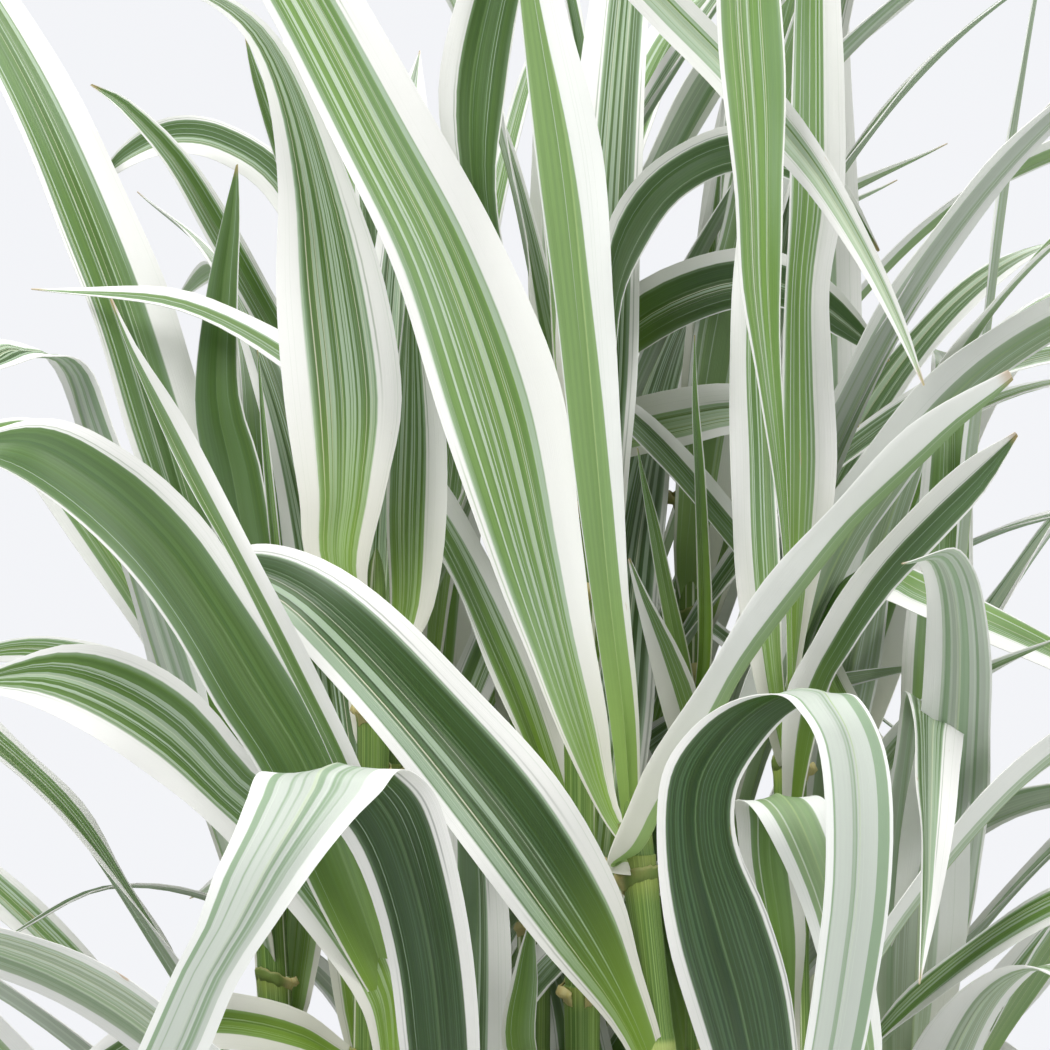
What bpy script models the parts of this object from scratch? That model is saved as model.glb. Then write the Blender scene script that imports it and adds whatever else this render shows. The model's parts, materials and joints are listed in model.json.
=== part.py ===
"""A variegated giant reed in a round clay pot: the pot, the soil in it, and fourteen leafy culms.

Metres, +Z up, the viewer on the -Y side. The origin is the centre of the pot's flat underside.
Each culm is one body with its blades, as it grew. A blade is a list of pairs, one pair of points on its
two margins for each cross-section, from its base to its tip. Blades that matter in the front view are
placed by hand where they are seen. The others arch outwards by a rule with a seeded draw, and each is
bent clear of every blade and culm already there.
"""

import math
import random

import bmesh
import bpy
from mathutils import Matrix, Vector
from mathutils.bvhtree import BVHTree

# Pot
POT_HEIGHT = 0.240
POT_RIM_RADIUS = 0.148
POT_BASE_RADIUS = 0.104
POT_WALL = 0.009
POT_FLOOR = 0.011
RIM_HEIGHT = 0.036
RIM_STAND_OUT = 0.007
RIM_ROUNDING = 0.004
POT_SIDES = 40
DRAIN_HOLE_RADIUS = 0.007
DRAIN_RING_RADIUS = 0.058
DRAIN_HOLES = 5

# Soil
SOIL_LEVEL = 0.222
SOIL_CROWN = 0.006
SOIL_LUMP = 0.0016
GAP = 0.0003

# Culms
CULM_RADIUS = 0.0055
CULM_TOP_RADIUS = 0.0038
CULM_DEPTH_IN_SOIL = 0.055
CULM_STRAIGHT_ABOVE_SOIL = 0.005
CULM_LEAN_POWER = 1.5
CULM_RINGS = 6
HOLE_SIDES = 12
HOLE_RADIUS = (CULM_RADIUS + GAP) / math.cos(math.pi / HOLE_SIDES)

# Blades
BLADE_THICKNESS = 0.0016
ROOT_WIDTH = 0.005
BEND_POWER = 2.1
CLEARANCE = 0.0014
TRIES = 260
TRIES_CLEAR_OF_OWN = 60
SEED = 41
SPIKE = "spike"

# Where the front view is seen from: its middle, the distance to the plane of the front culm, and the size
# of one pixel of the 1050 pixel picture on that plane
PICTURE_MIDDLE = 525
VIEW_X = -0.020
VIEW_Z = 0.580
VIEW_PLANE_Y = -0.100
VIEW_DISTANCE = 1.200
PIXEL = 0.00032
MM = 0.001

# Each culm: where it leaves the soil (x, y), its top (x, y, z), and the compass angle of its two ranks
CULMS = {
    "culm_front": ((0.035, -0.093), (0.0135, -0.091, 0.498), 200),
    "culm_right": ((0.071, -0.050), (0.068, -0.048, 0.528), 20),
    "culm_front_left": ((-0.038, -0.080), (-0.062, -0.078, 0.440), 165),
    "culm_left": ((-0.074, -0.030), (-0.070, -0.040, 0.572), 110),
    "culm_far_left": ((-0.100, 0.012), (-0.114, 0.004, 0.520), 190),
    "culm_middle": ((0.000, -0.030), (-0.002, -0.032, 0.610), 75),
    "culm_middle_right": ((0.042, 0.004), (0.040, -0.002, 0.525), 45),
    "culm_far_right": ((0.104, -0.002), (0.122, 0.000, 0.500), 350),
    "culm_back": ((-0.018, 0.038), (-0.014, 0.040, 0.640), 130),
    "culm_back_left": ((-0.064, 0.052), (-0.070, 0.058, 0.600), 150),
    "culm_back_right": ((0.038, 0.054), (0.040, 0.056, 0.615), 60),
    "culm_rear": ((0.012, 0.096), (0.020, 0.112, 0.590), 95),
    "culm_rear_left": ((-0.042, 0.096), (-0.058, 0.118, 0.520), 125),
    "culm_rear_right": ((0.078, 0.072), (0.094, 0.090, 0.545), 35),
}

# How many blades the rule adds to each culm
BLADES_BY_RULE = {
    "culm_front": 5,
    "culm_right": 4,
    "culm_front_left": 4,
    "culm_left": 6,
    "culm_far_left": 7,
    "culm_middle": 6,
    "culm_middle_right": 7,
    "culm_far_right": 8,
    "culm_back": 8,
    "culm_back_left": 7,
    "culm_back_right": 9,
    "culm_rear": 9,
    "culm_rear_left": 9,
    "culm_rear_right": 9,
}

# Blades placed by hand: culm, height of the root in metres, depth of the fold along the midrib and lean of
# the right margin behind the left one in mm, then each pair as it is seen from the front: left margin x and
# y and right margin x and y in picture pixels, and mm behind the view plane. Left and right are as the
# blade's upper side has them, with its base down.
HAND_PLACED = {
    "sweeping": ("culm_front", 0.474, 4, 6, [
        (600, 815, 618, 805, 16), (560, 735, 607, 715, 19), (528, 655, 592, 628, 22),
        (496, 576, 582, 540, 24), (443, 429, 560, 385, 26), (396, 275, 499, 236, 26),
        (339, 154, 428, 109, 24), (262, 0, 340, -42, 20), (190, -105, 262, -158, 14),
        (105, -185, 160, -240, 6), (15, -225, 45, -268, 0), (-60, -215, -58, -220, -4),
    ]),
    "young": ("culm_front", 0.484, 4, 2, [
        (640, 812, 622, 818, 8), (639, 718, 610, 723, 6), (628, 582, 590, 589, 3),
        (621, 430, 570, 437, 0), (614, 312, 557, 321, -3), (602, 150, 537, 167, -6),
        (562, -5, 519, 2, -9), (530, -130, 505, -128, -8), (500, -235, 496, -235, -4),
    ]),
    "folded_right": ("culm_front", 0.467, 10, -20, [
        (612, 860, 606, 866, 2), (640, 802, 634, 796, -2), (676, 738, 670, 730, -6),
        (714, 672, 708, 664, -9), (757, 610, 751, 603, -13), (822, 528, 816, 520, -20),
        (880, 468, 874, 460, -28), (950, 410, 946, 402, -38), (1010, 372, 1008, 370, -46),
    ]),
    "low_left": ("culm_front", 0.392, 4, 6, [
        (640, 1075, 664, 1050, 3), (610, 1025, 642, 972, -3), (550, 958, 620, 890, -10),
        (476, 864, 556, 777, -16), (396, 757, 470, 683, -20), (309, 656, 376, 592, -16),
        (262, 608, 305, 552, -8), (222, 592, 240, 548, 0), (180, 610, 184, 598, 8),
    ]),
    "tall_narrow": ("culm_right", 0.512, 3, 4, [
        (787, 680, 793, 680, 30), (783, 560, 790, 556, 18), (772, 470, 786, 462, 12),
        (755, 370, 781, 362, 8), (741, 290, 781, 280, 5), (735, 200, 783, 190, 3),
        (726, 120, 786, 110, 2), (716, 0, 781, -4, 0), (718, -100, 776, -105, -3),
        (732, -190, 774, -192, -8), (752, -265, 768, -262, -14), (764, -320, 765, -318, -20),
    ]),
    "tall_white": ("culm_right", 0.500, 3, 4, [
        (776, 760, 792, 755, 45), (752, 672, 783, 664, 36), (734, 560, 779, 555, 32),
        (731, 450, 775, 447, 30), (729, 360, 770, 356, 28), (736, 250, 768, 246, 28),
        (745, 150, 764, 148, 30), (752, 80, 753, 78, 34),
    ]),
    "tall_behind": ("culm_right", 0.520, 4, 4, [
        (790, 640, 806, 634, 52), (783, 545, 829, 530, 54), (781, 460, 838, 456, 55),
        (783, 370, 832, 366, 55), (785, 290, 829, 288, 55), (789, 200, 845, 196, 55),
        (792, 100, 844, 96, 55), (794, 0, 841, -3, 54), (800, -90, 838, -92, 50),
        (808, -170, 832, -172, 44), (820, -245, 822, -243, 38),
    ]),
    "out_right": ("culm_right", 0.455, 4, 5, [
        (782, 800, 802, 800, 40), (786, 700, 828, 695, 32), (812, 645, 850, 655, 28),
        (850, 578, 893, 590, 22), (905, 515, 940, 540, 12), (960, 465, 985, 492, 4),
        (1015, 432, 1018, 436, -4),
    ]),
    "great_loop": ("culm_right", 0.335, 4, 0, [
        (752, 1180, 790, 1185, -5), (722, 1110, 800, 1115, -28), (690, 1018, 792, 1000, -42),
        (667, 937, 768, 915, -48), (657, 850, 738, 845, -50), (662, 775, 737, 790, -52),
        (691, 730, 764, 743, -55), (731, 703, 798, 710, -61), (778, 694, 845, 693, -72),
        (801, 712, 866, 706, -84), (818, 745, 886, 752, -90), (825, 804, 893, 815, -93),
        (825, 880, 890, 893, -93), (819, 940, 882, 955, -91), (804, 1050, 862, 1060, -86),
        (785, 1140, 835, 1150, -80), (762, 1225, 780, 1228, -74), (745, 1280, 746, 1281, -70),
    ]),
    "small_loop": ("culm_right", 0.390, 3, 0, [
        (775, 1010, 800, 1010, 35), (757, 940, 806, 935, 22), (742, 870, 800, 855, 12),
        (737, 825, 806, 815, 5), (736, 804, 811, 798, -4), (755, 812, 829, 808, -14),
        (784, 864, 848, 862, -19), (804, 912, 862, 915, -21), (818, 958, 872, 965, -22),
        (842, 1030, 882, 1040, -22), (872, 1110, 880, 1112, -20),
    ]),
    "front_fold": ("culm_front_left", 0.335, 4, 0, [
        (432, 1190, 462, 1190, 0), (412, 1120, 475, 1120, -22), (400, 1050, 480, 1050, -38),
        (390, 971, 473, 955, -46), (372, 900, 459, 875, -51), (345, 840, 440, 805, -56),
        (305, 797, 420, 776, -62), (262, 775, 399, 767, -74), (246, 800, 380, 792, -85),
        (232, 835, 352, 822, -91), (212, 880, 315, 868, -94), (196, 928, 275, 925, -95),
        (175, 968, 238, 982, -94), (140, 1045, 203, 1062, -90), (112, 1110, 160, 1125, -85),
        (88, 1175, 118, 1187, -79), (72, 1240, 76, 1242, -73),
    ]),
    "broad_left": ("culm_front_left", 0.425, 4, 6, [
        (388, 1020, 408, 1000, 8), (340, 945, 398, 905, -8), (300, 868, 380, 825, -20),
        (262, 777, 345, 745, -30), (215, 705, 300, 663, -38), (175, 635, 254, 592, -44),
        (125, 568, 200, 515, -50), (65, 510, 128, 452, -56), (5, 470, 48, 418, -60),
        (-55, 450, -52, 445, -62),
    ]),
    "under_left": ("culm_front_left", 0.405, 4, 6, [
        (384, 1090, 404, 1068, 8), (362, 1010, 400, 985, 0), (310, 935, 365, 895, -4),
        (250, 865, 310, 805, -8), (200, 815, 258, 765, -11), (150, 775, 200, 695, -14),
        (90, 735, 135, 655, -18), (30, 705, 62, 645, -22), (-35, 685, -30, 678, -26),
    ]),
    "slim_left": ("culm_front_left", 0.434, 3, 3, [
        (396, 960, 412, 955, -6), (368, 870, 392, 860, -28), (340, 780, 362, 768, -48),
        (288, 672, 313, 665, -60), (243, 582, 273, 588, -66), (197, 500, 222, 487, -70),
        (160, 425, 182, 415, -74), (128, 350, 136, 345, -78), (110, 300, 112, 298, -80),
    ]),
    "upright_left": ("culm_left", 0.548, 4, 3, [
        (352, 612, 372, 614, 54), (308, 562, 368, 566, 50), (299, 496, 386, 488, 46),
        (284, 400, 402, 398, 45), (276, 290, 385, 285, 45), (278, 190, 352, 185, 45),
        (268, 100, 312, 92, 46), (245, 38, 268, 25, 50), (205, 2, 212, -10, 56),
        (160, -10, 162, -14, 62),
    ]),
    "upright_behind_left": ("culm_left", 0.520, 4, 3, [
        (386, 650, 412, 650, 62), (390, 600, 434, 606, 64), (386, 515, 446, 520, 65),
        (390, 430, 446, 428, 66), (400, 340, 430, 335, 66), (410, 260, 414, 258, 66),
    ]),
    "lying_low": ("culm_left", 0.400, 3, 3, [
        (352, 1075, 356, 1050, 66), (300, 1062, 306, 1012, 60), (240, 1050, 248, 995, 54),
        (185, 1052, 190, 992, 48), (120, 1075, 128, 1020, 42), (60, 1110, 66, 1072, 36),
        (15, 1140, 16, 1135, 32),
    ]),
    "spike_left": ("culm_far_left", 0.505, 2, 1, [
        (276, 600, 288, 600, 98), (270, 545, 281, 545, 92), (262, 450, 270, 450, 88),
        (257, 350, 258, 350, 84),
    ]),
    "dim_left": ("culm_far_left", 0.470, 3, 3, [
        (250, 640, 284, 645, 112), (222, 560, 275, 560, 116), (203, 470, 260, 465, 120),
        (194, 400, 240, 395, 122), (205, 300, 238, 296, 124), (222, 220, 240, 218, 126),
        (236, 165, 238, 164, 128),
    ]),
    "dim_slanting": ("culm_back_left", 0.550, 3, 3, [
        (362, 560, 382, 545, 150), (325, 450, 352, 432, 148), (262, 338, 290, 322, 144),
        (205, 235, 232, 220, 140), (165, 165, 185, 150, 136), (120, 110, 130, 100, 132),
        (90, 85, 92, 84, 130),
    ]),
    "dim_arching": ("culm_back_left", 0.582, 3, 3, [
        (368, 480, 392, 470, 158), (350, 390, 378, 375, 160), (310, 280, 345, 262, 162),
        (265, 195, 290, 165, 162), (215, 160, 225, 122, 162), (165, 155, 168, 118, 162),
        (115, 175, 118, 150, 162), (85, 205, 86, 203, 162),
    ]),
    "dim_upright": ("culm_back_left", 0.594, 2, 2, [
        (382, 440, 396, 440, 150), (345, 340, 368, 332, 142), (305, 240, 328, 232, 136),
        (272, 150, 290, 145, 132), (252, 80, 262, 78, 128), (245, 38, 246, 37, 126),
    ]),
    "dark_top": ("culm_middle", 0.578, 4, 3, [
        (552, 500, 572, 490, 62), (520, 410, 552, 400, 55), (480, 300, 515, 295, 49),
        (452, 190, 496, 190, 45), (438, 90, 505, 95, 43), (458, -5, 520, 0, 41),
        (495, -100, 545, -90, 36), (540, -180, 575, -165, 30), (590, -235, 600, -228, 24),
    ]),
    "slanting_down": ("culm_middle", 0.596, 3, 2, [
        (566, 440, 588, 438, 54), (556, 360, 590, 358, 44), (556, 270, 592, 268, 38),
        (548, 180, 588, 178, 34), (535, 90, 575, 92, 31), (522, 5, 558, 12, 29),
        (530, -75, 568, -45, 28), (580, -80, 590, -35, 27), (640, -48, 620, -8, 26),
        (691, 0, 660, 34, 24), (740, 50, 708, 82, 22), (788, 100, 756, 137, 21),
        (832, 165, 806, 190, 21), (875, 248, 856, 262, 22), (905, 320, 893, 327, 24),
        (925, 385, 923, 386, 26),
    ]),
    "high_arch": ("culm_middle", 0.560, 3, 3, [
        (592, 460, 608, 466, 76), (592, 380, 614, 385, 80), (598, 290, 622, 300, 83),
        (612, 215, 645, 248, 85), (655, 160, 680, 200, 87), (731, 125, 735, 172, 88),
        (800, 140, 790, 180, 89), (850, 190, 835, 215, 90), (880, 250, 878, 252, 91),
    ]),
    "low_spike": ("culm_middle", 0.362, 3, 2, [
        (540, 1120, 570, 1105, 56), (502, 1045, 537, 1050, 44), (513, 975, 538, 980, 38),
        (531, 914, 533, 914, 32),
    ]),
    "spike_right": ("culm_middle_right", 0.516, 2, 1, [
        (697, 660, 711, 660, 95), (698, 590, 712, 590, 92), (694, 480, 706, 480, 88),
        (692, 400, 698, 400, 86), (694, 335, 695, 335, 84),
    ]),
    "spike_middle": ("culm_middle_right", 0.500, 2, 1, [
        (676, 680, 692, 672, 92), (660, 600, 676, 596, 86), (648, 530, 661, 530, 83),
        (640, 475, 645, 475, 81), (637, 448, 638, 448, 80),
    ]),
    "short_right": ("culm_middle_right", 0.478, 3, 3, [
        (678, 760, 704, 748, 82), (664, 715, 700, 700, 72), (648, 650, 676, 644, 64),
        (636, 600, 650, 598, 58), (628, 560, 630, 558, 54),
    ]),
    "slanting_back": ("culm_far_right", 0.480, 3, 3, [
        (845, 720, 862, 704, 100), (800, 640, 818, 618, 105), (765, 590, 782, 565, 108),
        (715, 530, 735, 506, 108), (665, 470, 685, 448, 106), (622, 425, 640, 406, 104),
        (585, 385, 588, 380, 102),
    ]),
    "dark_arch": ("culm_back", 0.602, 4, 4, [
        (556, 400, 572, 412, 128), (572, 350, 597, 384, 120), (606, 308, 626, 362, 112),
        (660, 270, 678, 330, 106), (734, 248, 740, 308, 103), (795, 258, 792, 310, 101),
        (845, 295, 835, 335, 99), (890, 360, 888, 362, 97),
    ]),
    "flat_arch": ("culm_back", 0.580, 4, 4, [
        (556, 452, 570, 472, 134), (580, 424, 592, 468, 130), (620, 402, 628, 458, 126),
        (680, 388, 684, 446, 122), (735, 384, 738, 432, 120), (800, 395, 800, 430, 118),
        (860, 425, 858, 428, 116),
    ]),
}

# Windows of the front view that only the pale backdrop fills (left, top, right, bottom, in pixels), the
# window that the hand-placed blades keep for themselves, and how far behind the plane the rule starts there
OPEN_SKY = [(168, -30, 262, 112), (846, 60, 890, 300)]
FRONT_WINDOW = (165, -20, 885, 1065)
RULE_STARTS_BEHIND = 0.062


def seen(x, y, behind):
    """The point that the front view shows at this pixel, so many metres behind the view plane."""
    size = PIXEL * (1 + behind / VIEW_DISTANCE)
    return Vector((
        VIEW_X + (x - PICTURE_MIDDLE) * size,
        VIEW_PLANE_Y + behind,
        VIEW_Z + (PICTURE_MIDDLE - y) * size,
    ))


def pixel_of(point):
    """Where the front view shows a point, and how far behind the view plane it lies."""
    behind = point.y - VIEW_PLANE_Y
    size = PIXEL * (1 + behind / VIEW_DISTANCE)
    x = PICTURE_MIDDLE + (point.x - VIEW_X) / size
    y = PICTURE_MIDDLE - (point.z - VIEW_Z) / size
    return x, y, behind


def culm_point(name, z):
    """The culm's centre line at a height: upright in the soil, then leaning more and more to its top."""
    (x, y), top, _ = CULMS[name]
    start = SOIL_LEVEL + CULM_STRAIGHT_ABOVE_SOIL
    share = max(0.0, (z - start) / (top[2] - start)) ** CULM_LEAN_POWER
    return Vector((x + (top[0] - x) * share, y + (top[1] - y) * share, z))


def rooted(name, height, pairs):
    """The pairs with one more before them, inside the culm, so that the blade's root is well sunk in."""
    middle = culm_point(name, height)
    across = (pairs[0][1] - pairs[0][0]).normalized() * ROOT_WIDTH / 2
    return [(middle - across, middle + across)] + pairs


def hand_placed_pairs(name, height, lean, stations):
    """The margin pairs of a blade given by what the front view shows of it."""
    widths = [math.hypot(x2 - x1, y2 - y1) for x1, y1, x2, y2, _ in stations]
    pairs = []
    for (x1, y1, x2, y2, behind), width in zip(stations, widths):
        back = lean / 2 * width / max(widths)
        left = seen(x1, y1, (behind - back) * MM)
        right = seen(x2, y2, (behind + back) * MM)
        pairs.append((left, right))
    return rooted(name, height, pairs)


def arching_pairs(name, height, heading, start, bend, length, width, roll, drift, crease):
    """The margin pairs of a blade that leaves its culm at an angle and bends over under its own weight.

    Angles are in radians and start and bend are from the vertical. crease is the share of the length where
    the blade is folded down sharply, or 0 for none.
    """
    steps = 50
    shares = [0.06, 0.24, 0.44, 0.64, 0.82, 1.0]
    if crease:
        shares = [0.06, 0.26, crease - 0.05, crease + 0.01, crease + 0.07, 0.86, 1.0]
    wanted = [round(share * steps) for share in shares]
    point = culm_point(name, height)
    pairs = []
    for step in range(1, steps + 1):
        share = step / steps
        angle = start + bend * share ** BEND_POWER
        if crease:
            angle += math.radians(80) * min(1, max(0, (share - crease + 0.04) / 0.08))
        way = heading + drift * share
        along = Vector((math.sin(angle) * math.cos(way), math.sin(angle) * math.sin(way), math.cos(angle)))
        point = point + along * length / steps
        if step not in wanted:
            continue
        across = Vector((math.sin(way), -math.cos(way), 0))
        across.rotate(Matrix.Rotation(roll * share, 3, along))
        full = 0.5 + 0.5 * min(1, share / 0.25)
        taper = max(0, 1 - max(0, share - 0.25) / 0.75) ** 0.6
        half = across * width * max(0.012, full * taper) / 2
        pairs.append((point - half, point + half))
    return rooted(name, height, pairs)


def cross_sections(pairs, fold, thickness, spread=0.0):
    """Four points for each pair: left margin, upper side of the midrib, right margin, its under side."""
    middles = [(left + right) / 2 for left, right in pairs]
    widths = [(right - left).length for left, right in pairs]
    sections = []
    for i, (left, right) in enumerate(pairs):
        along = middles[min(i + 1, len(pairs) - 1)] - middles[max(i - 1, 0)]
        across = right - left
        up = across.cross(along).normalized()
        sunk = middles[i] - up * fold * widths[i] / max(widths)
        out = across.normalized() * spread
        half = up * (thickness / 2 + spread)
        sections.append((left - out, sunk + half, right + out, sunk - half))
    return sections


def blade_mesh(sections):
    """Points and triangles of the closed solid through these sections, alike on both faces."""
    points = [point for section in sections for point in section]
    faces = [(0, 2, 1), (0, 3, 2)]
    for i in range(len(sections) - 1):
        left, top, right, under = range(4 * i, 4 * i + 4)
        left2, top2, right2, under2 = range(4 * i + 4, 4 * i + 8)
        faces += [(left, top, top2), (left, top2, left2), (top, right, top2), (right, right2, top2)]
        faces += [(left, under2, under), (left, left2, under2), (under, under2, right), (right, under2, right2)]
    end = 4 * (len(sections) - 1)
    faces += [(end, end + 1, end + 2), (end, end + 2, end + 3)]
    return points, faces


def blade_tree(sections):
    """A blade's triangles, to test others against."""
    return BVHTree.FromPolygons(*blade_mesh(sections))


def culm_tree(name):
    """A six-sided copy of a culm, to test blades against."""
    points = []
    faces = []
    top = CULMS[name][1][2]
    for i in range(CULM_RINGS):
        z = SOIL_LEVEL + (top - SOIL_LEVEL) * i / (CULM_RINGS - 1)
        middle = culm_point(name, z)
        for k in range(6):
            turn = math.tau * k / 6
            points.append(middle + Vector((math.cos(turn), math.sin(turn), 0)) * CULM_RADIUS)
            if i:
                a = 6 * (i - 1) + k
                b = 6 * (i - 1) + (k + 1) % 6
                faces.append((a, b, b + 6, a + 6))
    return BVHTree.FromPolygons(points, faces)


def crosses(name, sections, placed, heed_own):
    """Whether a blade of this culm meets, or comes too near, a blade or culm that is already there."""
    whole = blade_tree(sections)
    outer = blade_tree(sections[2:])
    for owner, full_tree, outer_tree in placed:
        if owner != name and whole.overlap(full_tree):
            return True
        if owner == name and heed_own and outer.overlap(outer_tree):
            return True
    return False


def blocks_view(pairs):
    """Whether a blade stands in the open sky of the front view, or in front of the hand-placed blades."""
    for left, right in pairs:
        for point in (left, (left + right) / 2, right):
            x, y, behind = pixel_of(point)
            for x1, y1, x2, y2 in OPEN_SKY:
                if x1 < x < x2 and y1 < y < y2:
                    return True
            x1, y1, x2, y2 = FRONT_WINDOW
            if x1 < x < x2 and y1 < y < y2 and behind < RULE_STARTS_BEHIND:
                return True
    return False


def off_limits(pairs):
    """Whether a blade dips into the pot or the soil, or hangs too low beside the pot."""
    for left, right in pairs[1:]:
        for point in (left, right):
            beside = math.hypot(point.x, point.y)
            if point.z < 0.06 or (beside < POT_RIM_RADIUS + 0.012 and point.z < POT_HEIGHT + 0.012):
                return True
    return False


def draw_blade(draw, name, number, count, leeway):
    """One blade by the rule: low ones hang further out and high ones stand up. leeway grows from 0 to 1."""
    top = CULMS[name][1][2]
    rank = math.radians(CULMS[name][2]) + math.pi * (number % 2)
    share = number / max(1, count - 1)
    height = SOIL_LEVEL + 0.045 + (top - 0.03 - SOIL_LEVEL - 0.045) * share ** 0.8
    height += draw.uniform(-0.012, 0.012)
    heading = rank + math.radians(draw.uniform(-1, 1) * (38 + 90 * leeway))
    start = math.radians(draw.uniform(7, 22) + 16 * (1 - share))
    bend = math.radians(draw.uniform(35, 100) + 20 * (1 - share))
    length = draw.uniform(0.36, 0.54) * (0.84 + 0.16 * share) * (1 - 0.35 * leeway)
    width = draw.uniform(0.030, 0.042) * (1 - 0.2 * leeway)
    roll = math.radians(draw.uniform(-75, 75))
    drift = math.radians(draw.uniform(-40, 40))
    crease = draw.uniform(0.42, 0.66) if draw.random() < 0.18 else 0
    fold = draw.uniform(0.003, 0.005)
    if crease:
        bend = math.radians(draw.uniform(15, 45))
    return arching_pairs(name, height, heading, start, bend, length, width, roll, drift, crease), fold


def draw_spike(draw, name):
    """The rolled young blade at the top of a culm."""
    top = CULMS[name][1][2]
    heading = draw.uniform(0, math.tau)
    start = math.radians(draw.uniform(2, 9))
    bend = math.radians(draw.uniform(4, 30))
    length = draw.uniform(0.20, 0.34)
    width = draw.uniform(0.011, 0.018)
    roll = draw.uniform(-1, 1)
    drift = draw.uniform(-0.3, 0.3)
    return arching_pairs(name, top - 0.012, heading, start, bend, length, width, roll, drift, 0), 0.003


def all_blades():
    """Every blade as (culm, name, sections): the hand-placed ones first, then the ones by the rule."""
    draw = random.Random(SEED)
    placed = [(name, tree, tree) for name in CULMS for tree in [culm_tree(name)]]
    blades = []
    for title, (name, height, fold, lean, stations) in HAND_PLACED.items():
        pairs = hand_placed_pairs(name, height, lean, stations)
        sections = cross_sections(pairs, fold * MM, BLADE_THICKNESS)
        blades.append((name, title, sections))
        placed.append((name, blade_tree(sections), blade_tree(sections[2:])))
    wanted = []
    for number in range(max(BLADES_BY_RULE.values())):
        wanted += [(name, number) for name, count in BLADES_BY_RULE.items() if number < count]
    with_top = {owner for owner, title, _ in blades if "spike_" in title} | {"culm_front"}
    wanted += [(name, SPIKE) for name in CULMS if name not in with_top]
    for name, number in wanted:
        for attempt in range(TRIES):
            if number == SPIKE:
                pairs, fold = draw_spike(draw, name)
            else:
                pairs, fold = draw_blade(draw, name, number, BLADES_BY_RULE[name], attempt / TRIES)
            if blocks_view(pairs) or off_limits(pairs):
                continue
            shell = cross_sections(pairs, fold, BLADE_THICKNESS, CLEARANCE)
            if crosses(name, shell, placed, attempt < TRIES_CLEAR_OF_OWN):
                continue
            sections = cross_sections(pairs, fold, BLADE_THICKNESS)
            blades.append((name, f"by_rule_{number}", sections))
            placed.append((name, blade_tree(sections), blade_tree(sections[2:])))
            break
    return blades


def clear_scene():
    for obj in list(bpy.data.objects):
        bpy.data.objects.remove(obj, do_unlink=True)


def new_collection(name, hidden=False):
    collection = bpy.data.collections.new(name)
    bpy.context.scene.collection.children.link(collection)
    collection.hide_render = hidden
    return collection


def principled(name, colour, roughness):
    material = bpy.data.materials.new(name)
    material.use_nodes = True
    shader = material.node_tree.nodes["Principled BSDF"]
    shader.inputs["Base Color"].default_value = (*colour, 1)
    shader.inputs["Roughness"].default_value = roughness
    shader.inputs["Metallic"].default_value = 0.0
    return material


def new_object(name, mesh, collection, material=None):
    obj = bpy.data.objects.new(name, mesh)
    collection.objects.link(obj)
    if material:
        mesh.materials.append(material)
    return obj


def apply_modifiers(obj):
    """Bakes an object's modifiers into its mesh."""
    bpy.context.view_layer.update()
    graph = bpy.context.evaluated_depsgraph_get()
    mesh = bpy.data.meshes.new_from_object(obj.evaluated_get(graph))
    obj.modifiers.clear()
    obj.data = mesh


def turned(name, profile, collection, material):
    """A solid of revolution from a profile of (radius, height) that starts and ends on the axis."""
    mesh = bpy.data.meshes.new(name)
    points = [(radius, 0, z) for radius, z in profile]
    mesh.from_pydata(points, [(i, i + 1) for i in range(len(points) - 1)], [])
    obj = new_object(name, mesh, collection, material)
    screw = obj.modifiers.new("turn", "SCREW")
    screw.steps = POT_SIDES
    screw.render_steps = POT_SIDES
    screw.use_merge_vertices = True
    screw.merge_threshold = 0.00001
    screw.use_smooth_shade = True
    apply_modifiers(obj)
    return obj


def cylinder_cutter(name, x, y, low, high, radius, sides, cutters):
    mesh = bpy.data.meshes.new(name)
    work = bmesh.new()
    bmesh.ops.create_cone(
        work, cap_ends=True, segments=sides, radius1=radius, radius2=radius, depth=high - low
    )
    work.to_mesh(mesh)
    work.free()
    obj = new_object(name, mesh, cutters)
    obj.location = (x, y, (low + high) / 2)
    obj.hide_render = True
    obj.display_type = "WIRE"
    return obj


def cut(obj, cutters):
    """Takes a whole collection of cutters from an object."""
    boolean = obj.modifiers.new("holes", "BOOLEAN")
    boolean.operation = "DIFFERENCE"
    boolean.operand_type = "COLLECTION"
    boolean.collection = cutters
    boolean.solver = "EXACT"


def inner_radius(z):
    """The pot's inner wall at a height, under its rim."""
    slope = (POT_RIM_RADIUS - RIM_STAND_OUT - POT_BASE_RADIUS) / POT_HEIGHT
    return POT_BASE_RADIUS + slope * z - POT_WALL


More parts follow.
